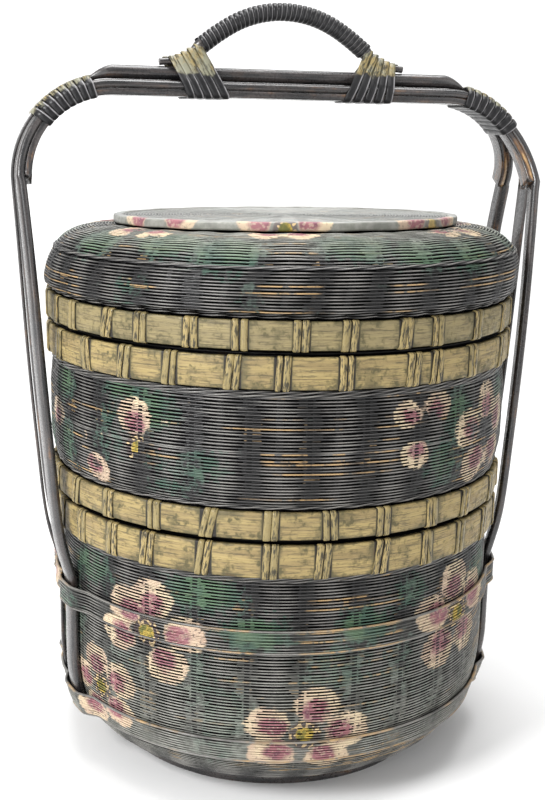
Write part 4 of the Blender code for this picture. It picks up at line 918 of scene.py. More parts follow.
def floor_weave_finish(colours):
    """Split bamboo laid over and under in two directions.

    Two sine stripes of the place, 6 mm from ridge to ridge, are crossed, and
    their product's sign says which strip is on top.
    """
    f = Finish("floor_weave")
    place = f.place()
    x, y, _ = f.parts(f.scaled(place, (1047.0, 1047.0, 0.0)))
    wide = f.reckon("SINE", x)
    deep = f.reckon("SINE", y)
    half_wide = f.reckon("SINE", f.reckon("MULTIPLY", x, 0.5))
    half_deep = f.reckon("SINE", f.reckon("MULTIPLY", y, 0.5))
    top = f.step(f.reckon("MULTIPLY", half_wide, half_deep), -0.08, 0.08)
    first = f.reckon("ABSOLUTE", f.reckon("COSINE", f.reckon("MULTIPLY", x, 0.5)))
    second = f.reckon("ABSOLUTE", f.reckon("COSINE", f.reckon("MULTIPLY", y, 0.5)))
    height = f.reckon("ADD", f.reckon("MULTIPLY", top, first),
                      f.reckon("MULTIPLY", f.reckon("SUBTRACT", 1.0, top), second))
    grain = f.noise(f.scaled(place, (1.0, 6.0, 1.0)), 260.0, 3.0)
    blotch = f.noise(place, 45.0, 3.0)
    colour = f.mix(f.step(grain, 0.35, 0.65), (0.16, 0.085, 0.036), (0.26, 0.15, 0.065))
    colour = f.mix(f.step(blotch, 0.45, 0.70, 0.0, 0.7), colour, (0.060, 0.033, 0.018))
    colour = f.mix(f.step(height, 0.05, 0.45, 0.85, 0.0), colour, (0.014, 0.009, 0.006))
    pattern = f.reckon("ADD", height, f.reckon("MULTIPLY", f.reckon("ADD", wide, deep), 0.05))
    return f.finish(colour, 0.55, pattern, 0.0006, 0.35)


def stage_finish():
    """Matt pale paper, a little mottled."""
    f = Finish("stage_paper")
    cloud = f.noise(f.place(), 3.0, 2.0)
    return f.finish(f.mix(f.step(cloud, 0.3, 0.7), (0.80, 0.80, 0.80), (0.83, 0.83, 0.83)), 0.9,
                    gloss=0.1)


FINISHES = {
    "painted_weave": painted_weave_finish,
    "gold_bamboo": gold_bamboo_finish,
    "lacquered_bamboo": lacquered_bamboo_finish,
    "plain_bamboo": plain_bamboo_finish,
    "tie_cane": tie_cane_finish,
    "floor_weave": floor_weave_finish,
}


def finish_of(name):
    """The named finish, built the first time it is asked for."""
    known = bpy.data.materials.get("aged_" + name)
    return known or FINISHES[name](bpy.context.scene.basket_colours)


# ----------------------------------------------------------- woven pieces


def add_weave(name, profile, ranges, body, stands_for, seed, blossoms, leaves, half_thickness=None,
              swing=None, stakes=None, lift=None, dust_and_sheen=None):
    """Weave rows over stretches of a profile. ranges holds (start, end) lengths."""
    sizes = bpy.context.scene.basket_sizes
    pitch = sizes.weaver_pitch
    at = np.concatenate([start + (np.arange(max(1, round((end - start) / pitch))) + 0.5)
                         * (end - start) / max(1, round((end - start) / pitch))
                         for start, end in ranges])
    grid, u, v, fields = weave_rows(
        profile, at, stakes or sizes.stakes, sizes.swing if swing is None else swing, pitch * 0.52,
        (half_thickness or sizes.weaver_thickness / 2), seed, lift=lift, dust_and_sheen=dust_and_sheen,
        motif=(blossoms, leaves, height_reader(profile)))
    return add_surface(name, grid, body, finish_of("painted_weave"), u, v, fields,
                       stands_for=stands_for)


def add_plain_painted(name, grid, body, u, v, closed, stands_for, strand=0.3, painted_light=0.2, extra=None):
    """A piece in the weave's finish without any motif."""
    # The painted light runs from painted shade at 0 to painted highlight at 1; by default a piece stays mostly in
    # painted shade
    shape = grid.shape[:3]
    fields = {"strand": np.full(shape, strand), "painted_light": np.full(shape, painted_light),
              "bloom": np.full(shape + (3,), 9.0), "keep": np.zeros(shape), "leaf": np.zeros(shape)}
    fields.update(extra or {})
    return add_surface(name, grid, body, finish_of("painted_weave"), u, v, fields, closed=closed,
                       stands_for=stands_for)


def add_shade_sheet(name, profile, start, end, body, stands_for):
    """A sheet in the wall's middle, turned round Z, that closes the gaps; it is painted black as shade."""
    at = np.arange(start, end, 0.0025)
    radius, height, along_r, along_z = read_profile(profile, at)
    sheets = [np.stack([radius + along_z * off, height - along_r * off], -1) for off in (0.00012, -0.00012)]
    outline = np.vstack([sheets[0], sheets[1][::-1]])
    u, v = spin_uv(outline, 224)
    return add_plain_painted(name, spin(outline, 224), body, u, v, (True, True), stands_for, painted_light=0.0)


def add_stakes(name, profile, start, end, body, stands_for):
    """Upright stakes between two running lengths of a profile."""
    sizes = bpy.context.scene.basket_sizes
    at = np.arange(start, end, 0.004)
    grid = stakes_of(profile, at, sizes.stakes, sizes.stake_width, 0.0004)
    u = np.broadcast_to(at[None], (len(grid), len(at)))
    v = np.broadcast_to(np.arange(7) * 0.0015, (len(grid), 7))
    return add_plain_painted(name, grid, body, u, v, (False, True), stands_for)


def add_twined(name, places, body, stands_for, seed):
    """Twined rows at (radius, height, tilt, size) places."""
    sizes = bpy.context.scene.basket_sizes
    made = [twined_row(*place[:3], sizes.stakes, place[3], seed + number)
            for number, place in enumerate(places)]
    grid = np.concatenate([one[0] for one in made])
    u = np.concatenate([one[1] for one in made])
    v = np.concatenate([one[2] for one in made])
    fields = {key: np.concatenate([one[3][key] for one in made]) for key in ("strand", "painted_light")}
    return add_plain_painted(name, grid, body, u, v, (True, True), stands_for, extra=fields)


def all_round(seen, spread=1.2, seed=5):
    """The seen angles, and as even a pitch as fits over the rest of the turn."""
    pitch = (seen[-1] - seen[0]) / (len(seen) - 1)
    rest = seen[0] + 360.0 - seen[-1]
    count = round(rest / pitch)
    behind = seen[-1] + np.arange(1, count) * rest / count
    behind = behind + np.random.default_rng(seed).uniform(-spread, spread, len(behind))
    return np.radians(np.concatenate([seen, behind]))


def add_band(name, span, inner, ties, body, node, olive, seed, trim):
    """A flat hoop with rounded edges, and pairs of cane bent round its edges.

    The hoop is an outline turned round Z. Each strap is a flat outline
    carried over the hoop's upper edge, down its face and under its lower
    edge, and shifts sideways by a slant as it comes down.
    """
    rng = np.random.default_rng(seed)
    bottom, top = span[0] + trim[0], span[1] - trim[1]
    outer = inner + BAND_THICKNESS
    share = np.linspace(0, 1, 8)
    face = np.stack([outer - 0.00035 * (2 * share - 1) ** 4, bottom + 0.0008
                     + (top - bottom - 0.0016) * share], -1)
    outline = np.vstack([[(inner, bottom), (outer - 0.0010, bottom), (outer - 0.0005, bottom + 0.00025)],
                         face, [(outer - 0.0005, top - 0.00025), (outer - 0.0010, top), (inner, top)]])
    segments = 1440
    slow = rng.uniform(0, math.tau, 4)

    def wobble(angle):
        return np.sin(7 * angle + slow[1]) * 0.00008, np.sin(5 * angle + slow[2]) * 0.00010

    grid = spin(outline, segments, wobble)
    u, v = spin_uv(outline, segments)
    angles = all_round(ties, seed=seed)
    turn = np.arange(segments) * math.tau / segments
    near = np.abs(np.angle(np.exp(1j * (turn[:, None] - angles[None])))).min(1) * outer
    # Within 4.6 mm of a tie's middle the field reaches 2, painted shade between its two straps; out to about 8.6 mm
    # it adds some dirt, and the band's edges gather dirt too
    beside = np.clip(1 - (near - 0.0046) / 0.0007, 0, 1) * 2.0 + np.clip(1 - (near - 0.0046) / 0.004, 0, 1) * 0.35
    level = (outline[:, 1] - bottom) / (top - bottom)
    low = np.clip(1 - level / 0.22, 0, 1) * 0.55 + np.clip((level - 0.9) / 0.1, 0, 1) * 0.35
    shape = grid.shape[:3]
    patch = 0.5 + 0.5 * np.sin(4 * turn + slow[3]) * np.sin(9 * turn + slow[1])
    grime_and_shadow = beside[:, None] + low[None] * (0.6 + 0.8 * patch[:, None])
    fields = {"grime_and_shadow": np.clip(grime_and_shadow, 0, 2)[None], "olive": np.full(shape, olive)}
    add_surface(name, grid, body, finish_of("gold_bamboo"), u, v, fields, stands_for=(node,))

    path = np.array([(inner + 0.0006, top - 0.00035), (inner + 0.0014, top), (outer - 0.0010, top),
                     (outer - 0.00025, top - 0.0003), (outer + 0.00002, top - 0.0011),
                     (outer + 0.00002, top - 0.004), (outer + 0.00002, (top + bottom) / 2),
                     (outer + 0.00002, bottom + 0.004), (outer + 0.00002, bottom + 0.0011),
                     (outer - 0.00025, bottom + 0.0003), (outer - 0.0010, bottom),
                     (inner + 0.0014, bottom), (inner + 0.0006, bottom + 0.00035)])
    normal = np.array([(-0.5, 0.8), (0, 1), (0.3, 0.95), (0.72, 0.70), (1, 0.15), (1, 0), (1, 0), (1, 0),
                       (1, -0.15), (0.72, -0.70), (0.3, -0.95), (0, -1), (-0.5, -0.8)])
    cane = np.array(strap_outline(1.0, 0.00080))
    count = len(angles) * 2
    centre = np.repeat(angles, 2) + rng.normal(0, 0.0012, count)
    side = np.tile([-0.5, 0.5], len(angles))
    width = 0.0040 * (1 + 0.10 * rng.standard_normal(count)).clip(0.8, 1.15)
    slant = np.repeat(rng.normal(0.0007, 0.0007, len(angles)), 2) + rng.normal(0, 0.0002, count)
    drop = (path[:, 1] - (top + bottom) / 2) / (top - bottom)
    along = (side * 0.0046)[:, None] + slant[:, None] * drop[None] * 2
    across = along[..., None] + cane[None, None, :, 0] * width[:, None, None]
    r = path[None, :, None, 0] + normal[None, :, None, 0] * cane[None, None, :, 1] + across * 0
    z = path[None, :, None, 1] + normal[None, :, None, 1] * cane[None, None, :, 1] + across * 0
    r = r - 0.5 * across ** 2 / outer
    cos, sin = np.cos(centre)[:, None, None], np.sin(centre)[:, None, None]
    straps = np.stack([r * cos - across * sin, r * sin + across * cos, z], -1)
    run = length_along(path)
    shape = straps.shape[:3]
    strand = rng.uniform(0, 1, (count, 1, 1))
    rim = (np.abs(cane[:, 0]) > 0.45)[None, None]
    fields = {"strand": np.broadcast_to(strand, shape), "rim": np.broadcast_to(rim, shape) * 1.0,
              "gilt": np.full(shape, 0.95)}
    u = run[None] + np.arange(count)[:, None] * 0.05
    v = np.broadcast_to(outline_run(cane * (0.004, 1))[None], (count, len(cane) + 1))
    add_surface(name + "_ties", straps, body, finish_of("tie_cane"), u, v, fields,
                closed=(False, True), stands_for=(node,))


# ------------------------------------------------------------------ handle


def shoulder_spread(angle):
    """BAR_SIDE, growing with the square of the angle past 30 degrees."""
    share = np.maximum(0.0, (angle - math.radians(30)) / math.radians(60))
    return BAR_SIDE + SHOULDER_SPLAY * share ** 2


def wall_below_belt(offset):
    """Profile of the lower tier from the belt's top down to the legs' ends."""
    profile = offset_profile(lower_profile(), offset)
    inside = (profile[:, 1] > LEG_END_HEIGHT) & (profile[:, 1] < BELT_TOP)
    ends = [(LOWER_RADIUS + offset, BELT_TOP)]
    return np.vstack([profile[inside], ends])[::-1]


def leg_guides(seat_radius, top_radius):
    """Radii and heights between the belt and the shoulder, from the top down."""
    heights = BELT_TOP + (SHOULDER_Z - BELT_TOP) * np.array((0.88, 0.73, 0.55, 0.33, 0.13))
    radii = seat_radius + (top_radius - seat_radius) * np.array((0.92, 0.83, 0.72, 0.55, 0.35))
    return np.stack([radii, heights], -1)


def bow_path(side):
    """Centre line and normals of one bow, foot to foot over the bar.

    A straight bar, a quarter circle that splays, a smooth curve through the
    leg's guides, and the tier's wall at LEG_ANGLE from the handle's plane.
    """
    bar = np.linspace(0, SHOULDER_X, 28)[:, None] * (1.0, 0.0, 0.0) + (0.0, side * BAR_SIDE, BAR_HEIGHT)
    angle = np.radians(np.linspace(0, 90, 31)[1:])
    out = np.stack([np.sin(angle), angle * 0, np.cos(angle)], -1)
    arc = out * SHOULDER_RADIUS + np.stack([angle * 0 + SHOULDER_X, side * shoulder_spread(angle),
                                            angle * 0 + SHOULDER_Z], -1)
    seat = wall_below_belt(GAP + BOW_THICKNESS / 2)
    spread = seat[0, 0] * math.sin(LEG_ANGLE) * np.array((0.745, 0.860, 0.925, 0.975, 1.005))
    guide = leg_guides(seat[0, 0], math.hypot(arc[-1, 0], arc[-1, 1]))
    legs = np.stack([np.sqrt(guide[:, 0] ** 2 - spread ** 2), side * spread, guide[:, 1]], -1)
    wall = np.stack([seat[:, 0] * math.cos(LEG_ANGLE), side * seat[:, 0] * math.sin(LEG_ANGLE),
                     seat[:, 1]], -1)
    free = smooth_through(np.vstack([arc[-1:], legs, wall[:1]]), 10)[1:-1]
    points = np.vstack([bar, arc, free, wall])
    level = free * (1.0, 1.0, 0.0)
    level /= np.linalg.norm(level, axis=1)[:, None]
    foot = np.tile((math.cos(LEG_ANGLE), side * math.sin(LEG_ANGLE), 0.0), (len(wall), 1))
    normals = np.vstack([np.tile((0.0, 0.0, 1.0), (len(bar), 1)), out, level, foot])
    flip = np.array((-1.0, 1.0, 1.0))
    points = np.vstack([points[:0:-1] * flip, points])
    normals = np.vstack([normals[:0:-1] * flip, normals])
    return points, normals


def strip_path(sign):
    """Centre line and normals of the strip over the seam at one side."""
    reach = SHOULDER_RADIUS + BOW_THICKNESS / 2 + GAP + STRIP_THICKNESS / 2
    angle = np.radians(np.linspace(19.5, 90, 26))
    out = np.stack([np.sin(angle), angle * 0, np.cos(angle)], -1)
    arc = out * reach + (SHOULDER_X, 0.0, SHOULDER_Z)
    seat = wall_below_belt(GAP + STRIP_THICKNESS / 2)
    guide = leg_guides(seat[0, 0], SHOULDER_X + reach)
    legs = np.stack([guide[:, 0], guide[:, 0] * 0, guide[:, 1]], -1)
    wall = np.stack([seat[:, 0], seat[:, 0] * 0, seat[:, 1]], -1)
    free = smooth_through(np.vstack([arc[-1:], legs, wall[:1]]), 10)[1:-1]
    points = np.vstack([arc, free, wall])
    normals = np.vstack([out, np.tile((1.0, 0.0, 0.0), (len(free) + len(wall), 1))])
    flip = np.array((sign, 1.0, 1.0))
    return points * flip, normals * flip


def add_strip(name, points, normals, outline, node, wear_of, seed, spacing=0.0025):
    """Carry an outline along a path in the handle's lacquer."""
    rng = np.random.default_rng(seed)
    path, side, run = evenly(points, normals, spacing)
    swell = 1 + 0.010 * np.sin(run * 61 + rng.uniform(0, 6)) * np.sin(run * 23 + rng.uniform(0, 6))
    grid = carried(path, side, outline, swell.clip(None, 1.0))[None]
    wear = wear_of(path)[None, :, None] + np.zeros(grid.shape[:3])
    edge = np.abs(np.asarray(outline)[:, 0])
    wear = wear + (edge > edge.max() * 0.9)[None, None] * 0.22
    return add_surface(name, grid, "base", finish_of("lacquered_bamboo"), run[None],
                       outline_run(outline)[None], {"wear": wear}, closed=(False, True),
                       stands_for=(node,))


def split_outline(width, thickness, crown=0.35):
    """Half-round split bamboo: a flat inside and a superellipse outside."""
    turn = np.linspace(0, math.pi, 13)
    w, t = width / 2, thickness
    x = -np.sign(np.cos(turn)) * np.abs(np.cos(turn)) ** 0.75 * w
    y = np.sin(turn) ** 0.62 * t * (1 - crown) + t * (crown - 0.5)
    return np.vstack([[(w * 0.96, -t / 2), (-w * 0.96, -t / 2)], np.stack([x, y], -1)])[::-1]


def grip_centre(steps=14):
    """Smooth curve through the grip's guides, foot to foot."""
    heights = np.array((0, 0.05, 0.25, 0.57, 0.81, 0.955, 1.0))
    reach = np.array((1, 0.86, 0.71, 0.53, 0.36, 0.18, 0.0))
    half = np.stack([GRIP_HALF_SPAN * reach, reach * 0, GRIP_SEAT + GRIP_RISE * heights], -1)
    return smooth_through(np.vstack([half * (-1, 1, 1), half[-2::-1]]), steps)


def add_winding(name, path, normals, width, thickness, node, gilt, spacing=None, seed=3):
    """Flat cane carried along a winding path."""
    if spacing:
        path, normals, run = evenly(path, normals, spacing)
    else:
        run = length_along(path)
    cane = np.array(strap_outline(width, thickness))
    grid = carried(path, normals, cane)[None]
    shape = grid.shape[:3]
    level = gilt(path)[None, :, None] + np.zeros(shape)
    # The one edge of the cane that takes the painted highlight
    rim = (cane[:, 0] > width * 0.35)[None, None] * 1.0
    slow = 0.5 + 0.5 * np.sin(run * 90 + seed) * np.sin(run * 37 + seed * 2)
    fields = {"strand": slow[None, :, None] + np.zeros(shape), "gilt": level,
              "rim": np.broadcast_to(rim, shape), "olive": np.ones(shape)}
    return add_surface(name, grid, "base", finish_of("tie_cane"), run[None],
                       outline_run(cane)[None], fields, closed=(False, True), stands_for=(node,))


def ring_reader(corners, rounding):
    """Rounded outline read by its share of length: place and outward normal."""
    ring = rounded(corners, rounding, 5)
    ring = np.vstack([ring, ring[:1]])
    run = length_along(ring)
    along = np.gradient(ring, axis=0)
    along[0] = along[-1] = ring[1] - ring[-2]
    along /= np.linalg.norm(along, axis=1)[:, None]
    out = np.stack([along[:, 1], -along[:, 0]], -1)
    middle = ring[:-1].mean(0)
    if ((ring - middle) * out).sum() < 0:
        out = -out

    def read(share):
        at = (share % 1.0) * run[-1]
        return (np.stack([np.interp(at, run, ring[:, k]) for k in range(2)], -1),
                np.stack([np.interp(at, run, out[:, k]) for k in range(2)], -1))

    return read


def belt_lift(angle):
    """How far a belt stands off the wall: flat over a leg, with a smooth ramp."""
    lift = np.zeros_like(angle)
    ramp = 0.0190 / LOWER_RADIUS
    legs = [(turn, (BOW_WIDTH / 2 + 0.0006) / LOWER_RADIUS, BOW_THICKNESS + GAP)
            for turn in (LEG_ANGLE, -LEG_ANGLE, math.pi - LEG_ANGLE, math.pi + LEG_ANGLE)]
    legs += [(turn, (STRIP_WIDTH / 2 + 0.0006) / LOWER_RADIUS, STRIP_THICKNESS + GAP)
             for turn in (0.0, math.pi)]
    for centre, flat, rise in legs:
        away = np.abs(np.angle(np.exp(1j * (angle - centre))))
        share = np.clip((flat + ramp - away) / ramp, 0, 1)
        lift = np.maximum(lift, rise * share * share * (3 - 2 * share))
    return lift


# --------------------------------------------------------------- operators


class LowerTierWeave(bpy.types.Operator):
    """Weave the lower tier's bowl, neck and rim over its stakes."""

    bl_idname = "basket.lower_tier_weave"
    bl_label = "Lower tier weave"

    def execute(self, context):
        profile = offset_profile(lower_profile(), -0.0009)
        read = height_reader(profile)
        third, half, high = read(0.0350), read(0.0760), read(0.1130)
        neck = read(LOWER_BAND[0] + 0.0020)
        end = length_along(profile)[-1]
        node = ("lower_tier_wall",)

        def dust_and_sheen(height):
            away = np.clip((height - 0.014) / 0.022, 0.10, 1)
            return 0.76 * np.clip((0.120 - height) / 0.060, 0, 1) * away

        for name, ranges, seed in (
                ("foot", [(0.0004, third)], 11), ("bowl", [(third, half)], 12), ("body", [(half, high)], 13),
                ("neck", [(high, neck - 0.0028), (end - 0.0050, end - 0.0004)], 14)):
            add_weave("lower_weave_" + name, profile, ranges, "base", node, seed, LOWER_BLOSSOMS,
                      LOWER_LEAVES, dust_and_sheen=dust_and_sheen)
        add_stakes("lower_stakes", profile, 0.0010, end - 0.0006, "base", node)
        add_shade_sheet("lower_shade_sheet", profile, 0.0010, end - 0.0006, "base", node)
        radius = LOWER_RIM_RADIUS - 0.0019
        add_twined("lower_neck_twining", [(radius - 0.0001, LOWER_BAND[0] - 0.0012, 0.0, 0.0010),
                                          (radius - 0.0003, LOWER_BAND[0] - 0.0030, 0.0, 0.0010)],
                   "base", node, 40)
        return {"FINISHED"}


class UpperTierWeave(bpy.types.Operator):
    """Weave the upper tier between its two bands."""

    bl_idname = "basket.upper_tier_weave"
    bl_label = "Upper tier weave"

    def execute(self, context):
        profile = offset_profile(upper_profile(), -0.0009)
        read = height_reader(profile)
        end = length_along(profile)[-1]
        low, high = read(UPPER_FOOT_BAND[1] + 0.0024), read(UPPER_RIM_BAND[0] - 0.0040)
        node = ("upper_tier_wall",)
        middle = (low + high) / 2
        add_weave("upper_weave_low", profile, [(0.0002, 0.0042), (low, middle)], "upper_tier", node, 21,
                  UPPER_BLOSSOMS, UPPER_LEAVES)
        add_weave("upper_weave_high", profile, [(middle, high), (end - 0.0046, end)], "upper_tier", node,
                  22, UPPER_BLOSSOMS, UPPER_LEAVES)
        add_stakes("upper_stakes", profile, 0.0004, end, "upper_tier", node)
        add_shade_sheet("upper_shade_sheet", profile, 0.0006, end - 0.0004, "upper_tier", node)
        add_twined("upper_twining", [(UPPER_BASE_RADIUS + 0.0003, UPPER_FOOT_BAND[1] + 0.0012, 0.0, 0.0010),
                                     (RIM_RADIUS + 0.0002, UPPER_RIM_BAND[0] - 0.0012, 0.0, 0.0010),
                                     (RIM_RADIUS + 0.0004, UPPER_RIM_BAND[0] - 0.0030, 0.0, 0.0010)],
                   "upper_tier", node, 50)
        return {"FINISHED"}


class LidWeave(bpy.types.Operator):
    """Weave the lid's wall and dome, its ridge and its raised top disc."""

    bl_idname = "basket.lid_weave"
    bl_label = "Lid weave"

    def execute(self, context):
        profile = offset_profile(lid_profile(), -0.0009)
        read = height_reader(profile)
        end = length_along(profile)[-1]
        low, ridge = read(LID_BAND[1] + 0.0040), read(0.3285)
        node = ("lid_wall",)

        def dust_and_sheen(height):
            return 0.72 * np.clip((height - 0.3310) / 0.008, 0, 1)

        add_weave("lid_weave_wall", profile, [(0.0002, 0.0042), (low, ridge - 0.0010)], "lid", node, 31,
                  LID_BLOSSOMS, LID_LEAVES, swing=0.00044, dust_and_sheen=dust_and_sheen)
        add_weave("lid_weave_dome", profile, [(ridge + 0.0010, end)], "lid", node, 32, LID_BLOSSOMS,
                  LID_LEAVES, swing=0.00044, dust_and_sheen=dust_and_sheen)
        add_stakes("lid_stakes", profile, 0.0004, end, "lid", node)
        add_shade_sheet("lid_shade_sheet", profile, 0.0006, end - 0.0002, "lid", node)
        # The shelf under the disc takes no painted light: it is painted black as shade
        inner, outer = DISC_RADIUS - 0.0085, DISC_RADIUS - 0.0003
        shelf = rounded([(inner, LID_TOP - 0.0016), (outer, LID_TOP - 0.0016), (outer, LID_TOP - 0.0008),
                         (inner, LID_TOP - 0.0008)], 0.0003, 2)
        u, v = spin_uv(shelf, 224)
        add_plain_painted("lid_shelf", spin(shelf, 224), "lid", u, v, (True, True), node, painted_light=0.0)
        radius, height, along_r, along_z = read_profile(profile, np.array([ridge]))
        tilt = math.atan2(-along_r[0], along_z[0])
        add_twined("lid_twining", [(RIM_RADIUS + 0.0006, LID_BAND[1] + 0.0012, 0.0, 0.0010),
                                   (RIM_RADIUS + 0.0022, LID_BAND[1] + 0.0030, 0.3, 0.0010),
                                   (radius[0] + along_z[0] * 0.0006, height[0] - along_r[0] * 0.0006,
                                    tilt, 0.0010)], "lid", node, 60)
        self.weave_disc()
        return {"FINISHED"}

    def weave_disc(self):
        """Rows from a knot in the middle out to a rolled, painted lip."""
        disc = ("lid_top_disc",)
        bottom, top = DISC_HEIGHTS
        level = top - 0.0012
        rings = np.array([(0.0118, level), (0.0560, level)])
        # A value of 1.5 paints the disc's rows with the pale painted sheen
        add_weave("disc_weave_middle", rings[::-1] * (1, 1), [(0.0, 0.0442)], "lid", disc, 71, (), (),
                  swing=0.00015, stakes=28, dust_and_sheen=lambda z: z * 0 + 1.5)
        rings = np.array([(DISC_RADIUS - 0.0050, level), (0.0560, level)])
        add_weave("disc_weave", rings, [(0.0, DISC_RADIUS - 0.0610)], "lid", disc, 72, (), (), swing=0.00015,
                  dust_and_sheen=lambda z: z * 0 + 1.5)
        corners = [(DISC_RADIUS - 0.0056, bottom + 0.0001), (DISC_RADIUS, bottom + 0.0001),
                   (DISC_RADIUS, top - 0.0001), (DISC_RADIUS - 0.0056, top - 0.0001)]
        lip = rounded(corners, 0.0014, 4)
        segments = 480
        grid = spin(lip, segments, lambda angle: (np.sin(23 * angle) * 0.00015 + np.sin(7 * angle) * 0.0002
                                                  - 0.00035, np.sin(17 * angle) * 0.00012))
        u, v = spin_uv(lip, segments)
        angle = np.broadcast_to((np.arange(segments) * math.tau / segments)[None, :, None], grid.shape[:3])
        run = np.broadcast_to(lip[None, None, :, 1], grid.shape[:3])
        bloom, keep, leaf = paint_fields(angle, run, DISC_RADIUS, LIP_BLOSSOMS, (), lambda z: z)
        # The lip is dusty, and its top passes 1 and takes the painted sheen
        fields = {"bloom": bloom, "keep": keep, "leaf": np.full(keep.shape, 0.0),
                  "strand": np.full(keep.shape, 0.4), "dust_and_sheen": np.full(keep.shape, 0.9)
                  + np.clip((lip[:, 1] - top + 0.0012) / 0.001, 0, 1) * 0.5,
                  "painted_light": np.full(keep.shape, 0.95)}
        add_plain_painted("disc_lip", grid, "lid", u, v, (True, True), disc, extra=fields)
        rim = DISC_RADIUS - 0.0040
        plate = np.array([(rim - 0.0026, bottom + 0.0002), (rim, bottom + 0.0008), (rim, level - 0.0010),
                          (0.0110, level - 0.0010)])
        knot = np.array([(0.0110, level - 0.0010), (0.0108, level + 0.0002), (0.0085, level + 0.0010),
                         (0.0040, level + 0.00115)])
        # The plate and the knot take the painted sheen as well
        for name, outline in (("disc_plate", plate), ("disc_knot", knot)):
            rings = spin(outline, 96).transpose(0, 2, 1, 3)
            u = length_along(outline)[None]
            v = (np.arange(97) * math.tau / 96 * outline[:, 0].max())[None]
            add_plain_painted(name, rings, "lid", u, v, (False, True), disc, painted_light=0.6,
                              extra={"dust_and_sheen": np.full(rings.shape[:3], 1.4)})


class Bands(bpy.types.Operator):
    """Bend the four gold bands and tie them with pairs of flat cane."""

    bl_idname = "basket.bands"
    bl_label = "Bands and ties"

    def execute(self, context):
        add_band("lower_rim_band", LOWER_BAND, LOWER_RIM_RADIUS + GAP, LOWER_RIM_TIES, "base",
                 "lower_tier_rim_band", 0.0, 81, (0.0009, 0.0016))
        add_band("upper_foot_band", UPPER_FOOT_BAND, UPPER_BASE_RADIUS + GAP, UPPER_FOOT_TIES,
                 "upper_tier", "upper_tier_foot_band", 0.1, 82, (0.0016, 0.0009))
        add_band("upper_rim_band", UPPER_RIM_BAND, RIM_RADIUS + GAP, UPPER_RIM_TIES, "upper_tier",
                 "upper_tier_rim_band", 0.10, 83, (0.0009, 0.0016))
        add_band("lid_band", LID_BAND, RIM_RADIUS + GAP, LID_TIES, "lid", "lid_rim_band", 0.75, 84,
                 (0.0017, 0.0009))
        return {"FINISHED"}


class HoopsAndFoot(bpy.types.Operator):
    """Turn the foot ring and the hoops inside the rims."""

    bl_idname = "basket.hoops_and_foot"
    bl_label = "Hoops and foot ring"

    def execute(self, context):
        inner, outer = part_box("foot_ring")[1].x - 0.0085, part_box("foot_ring")[1].x
        corners = [(inner, 0.0), (outer - 0.0004, 0.0), (outer, 0.0030), (outer, 0.0060),
                   (outer - 0.0010, 0.0080), (inner, 0.0080)]
        ring = rounded(corners, 0.0009, 4)
        grid = spin(ring, 240)
        u, v = spin_uv(ring, 240)
        add_surface("foot_hoop", grid, "base", finish_of("lacquered_bamboo"), u, v,
                    {"wear": np.full(grid.shape[:3], 0.25)}, stands_for=("foot_ring",))
        hoops = (
            ("lower_hoop", "lower_tier_inner_hoop", "base",
             [(0.1358, LOWER_BAND[0]), (0.1386, LOWER_BAND[0]), (0.1386, LOWER_BAND[1] + 0.0080),
              (0.1358, LOWER_BAND[1] + 0.0080)]),
            ("upper_hoop", "upper_tier_inner_hoop", "upper_tier",
             [(0.1378, UPPER_RIM_BAND[0]), (0.1434, UPPER_RIM_BAND[0]), (0.1434, UPPER_RIM_BAND[1]),
              (0.1406, UPPER_RIM_BAND[1]), (0.1406, UPPER_RIM_BAND[1] + 0.0080),
              (0.1378, UPPER_RIM_BAND[1] + 0.0080)]),
            ("lid_hoop", "lid_inner_hoop", "lid",
             [(0.1416, LID_BAND[0]), (0.1434, LID_BAND[0]), (0.1434, LID_BAND[0] + 0.0160),
              (0.1416, LID_BAND[0] + 0.0160)]),
        )
        for name, node, body, corners in hoops:
            outline = rounded(corners, 0.0006, 2)
            grid = spin(outline, 240)
            u, v = spin_uv(outline, 240)
            # The hoops are painted black near the bands' meeting edges, as painted shade in the gaps
            add_surface(name, grid, body, finish_of("plain_bamboo"), u, v,
                        {"gap_shade": np.ones(grid.shape[:3])}, stands_for=(node,))
        return {"FINISHED"}


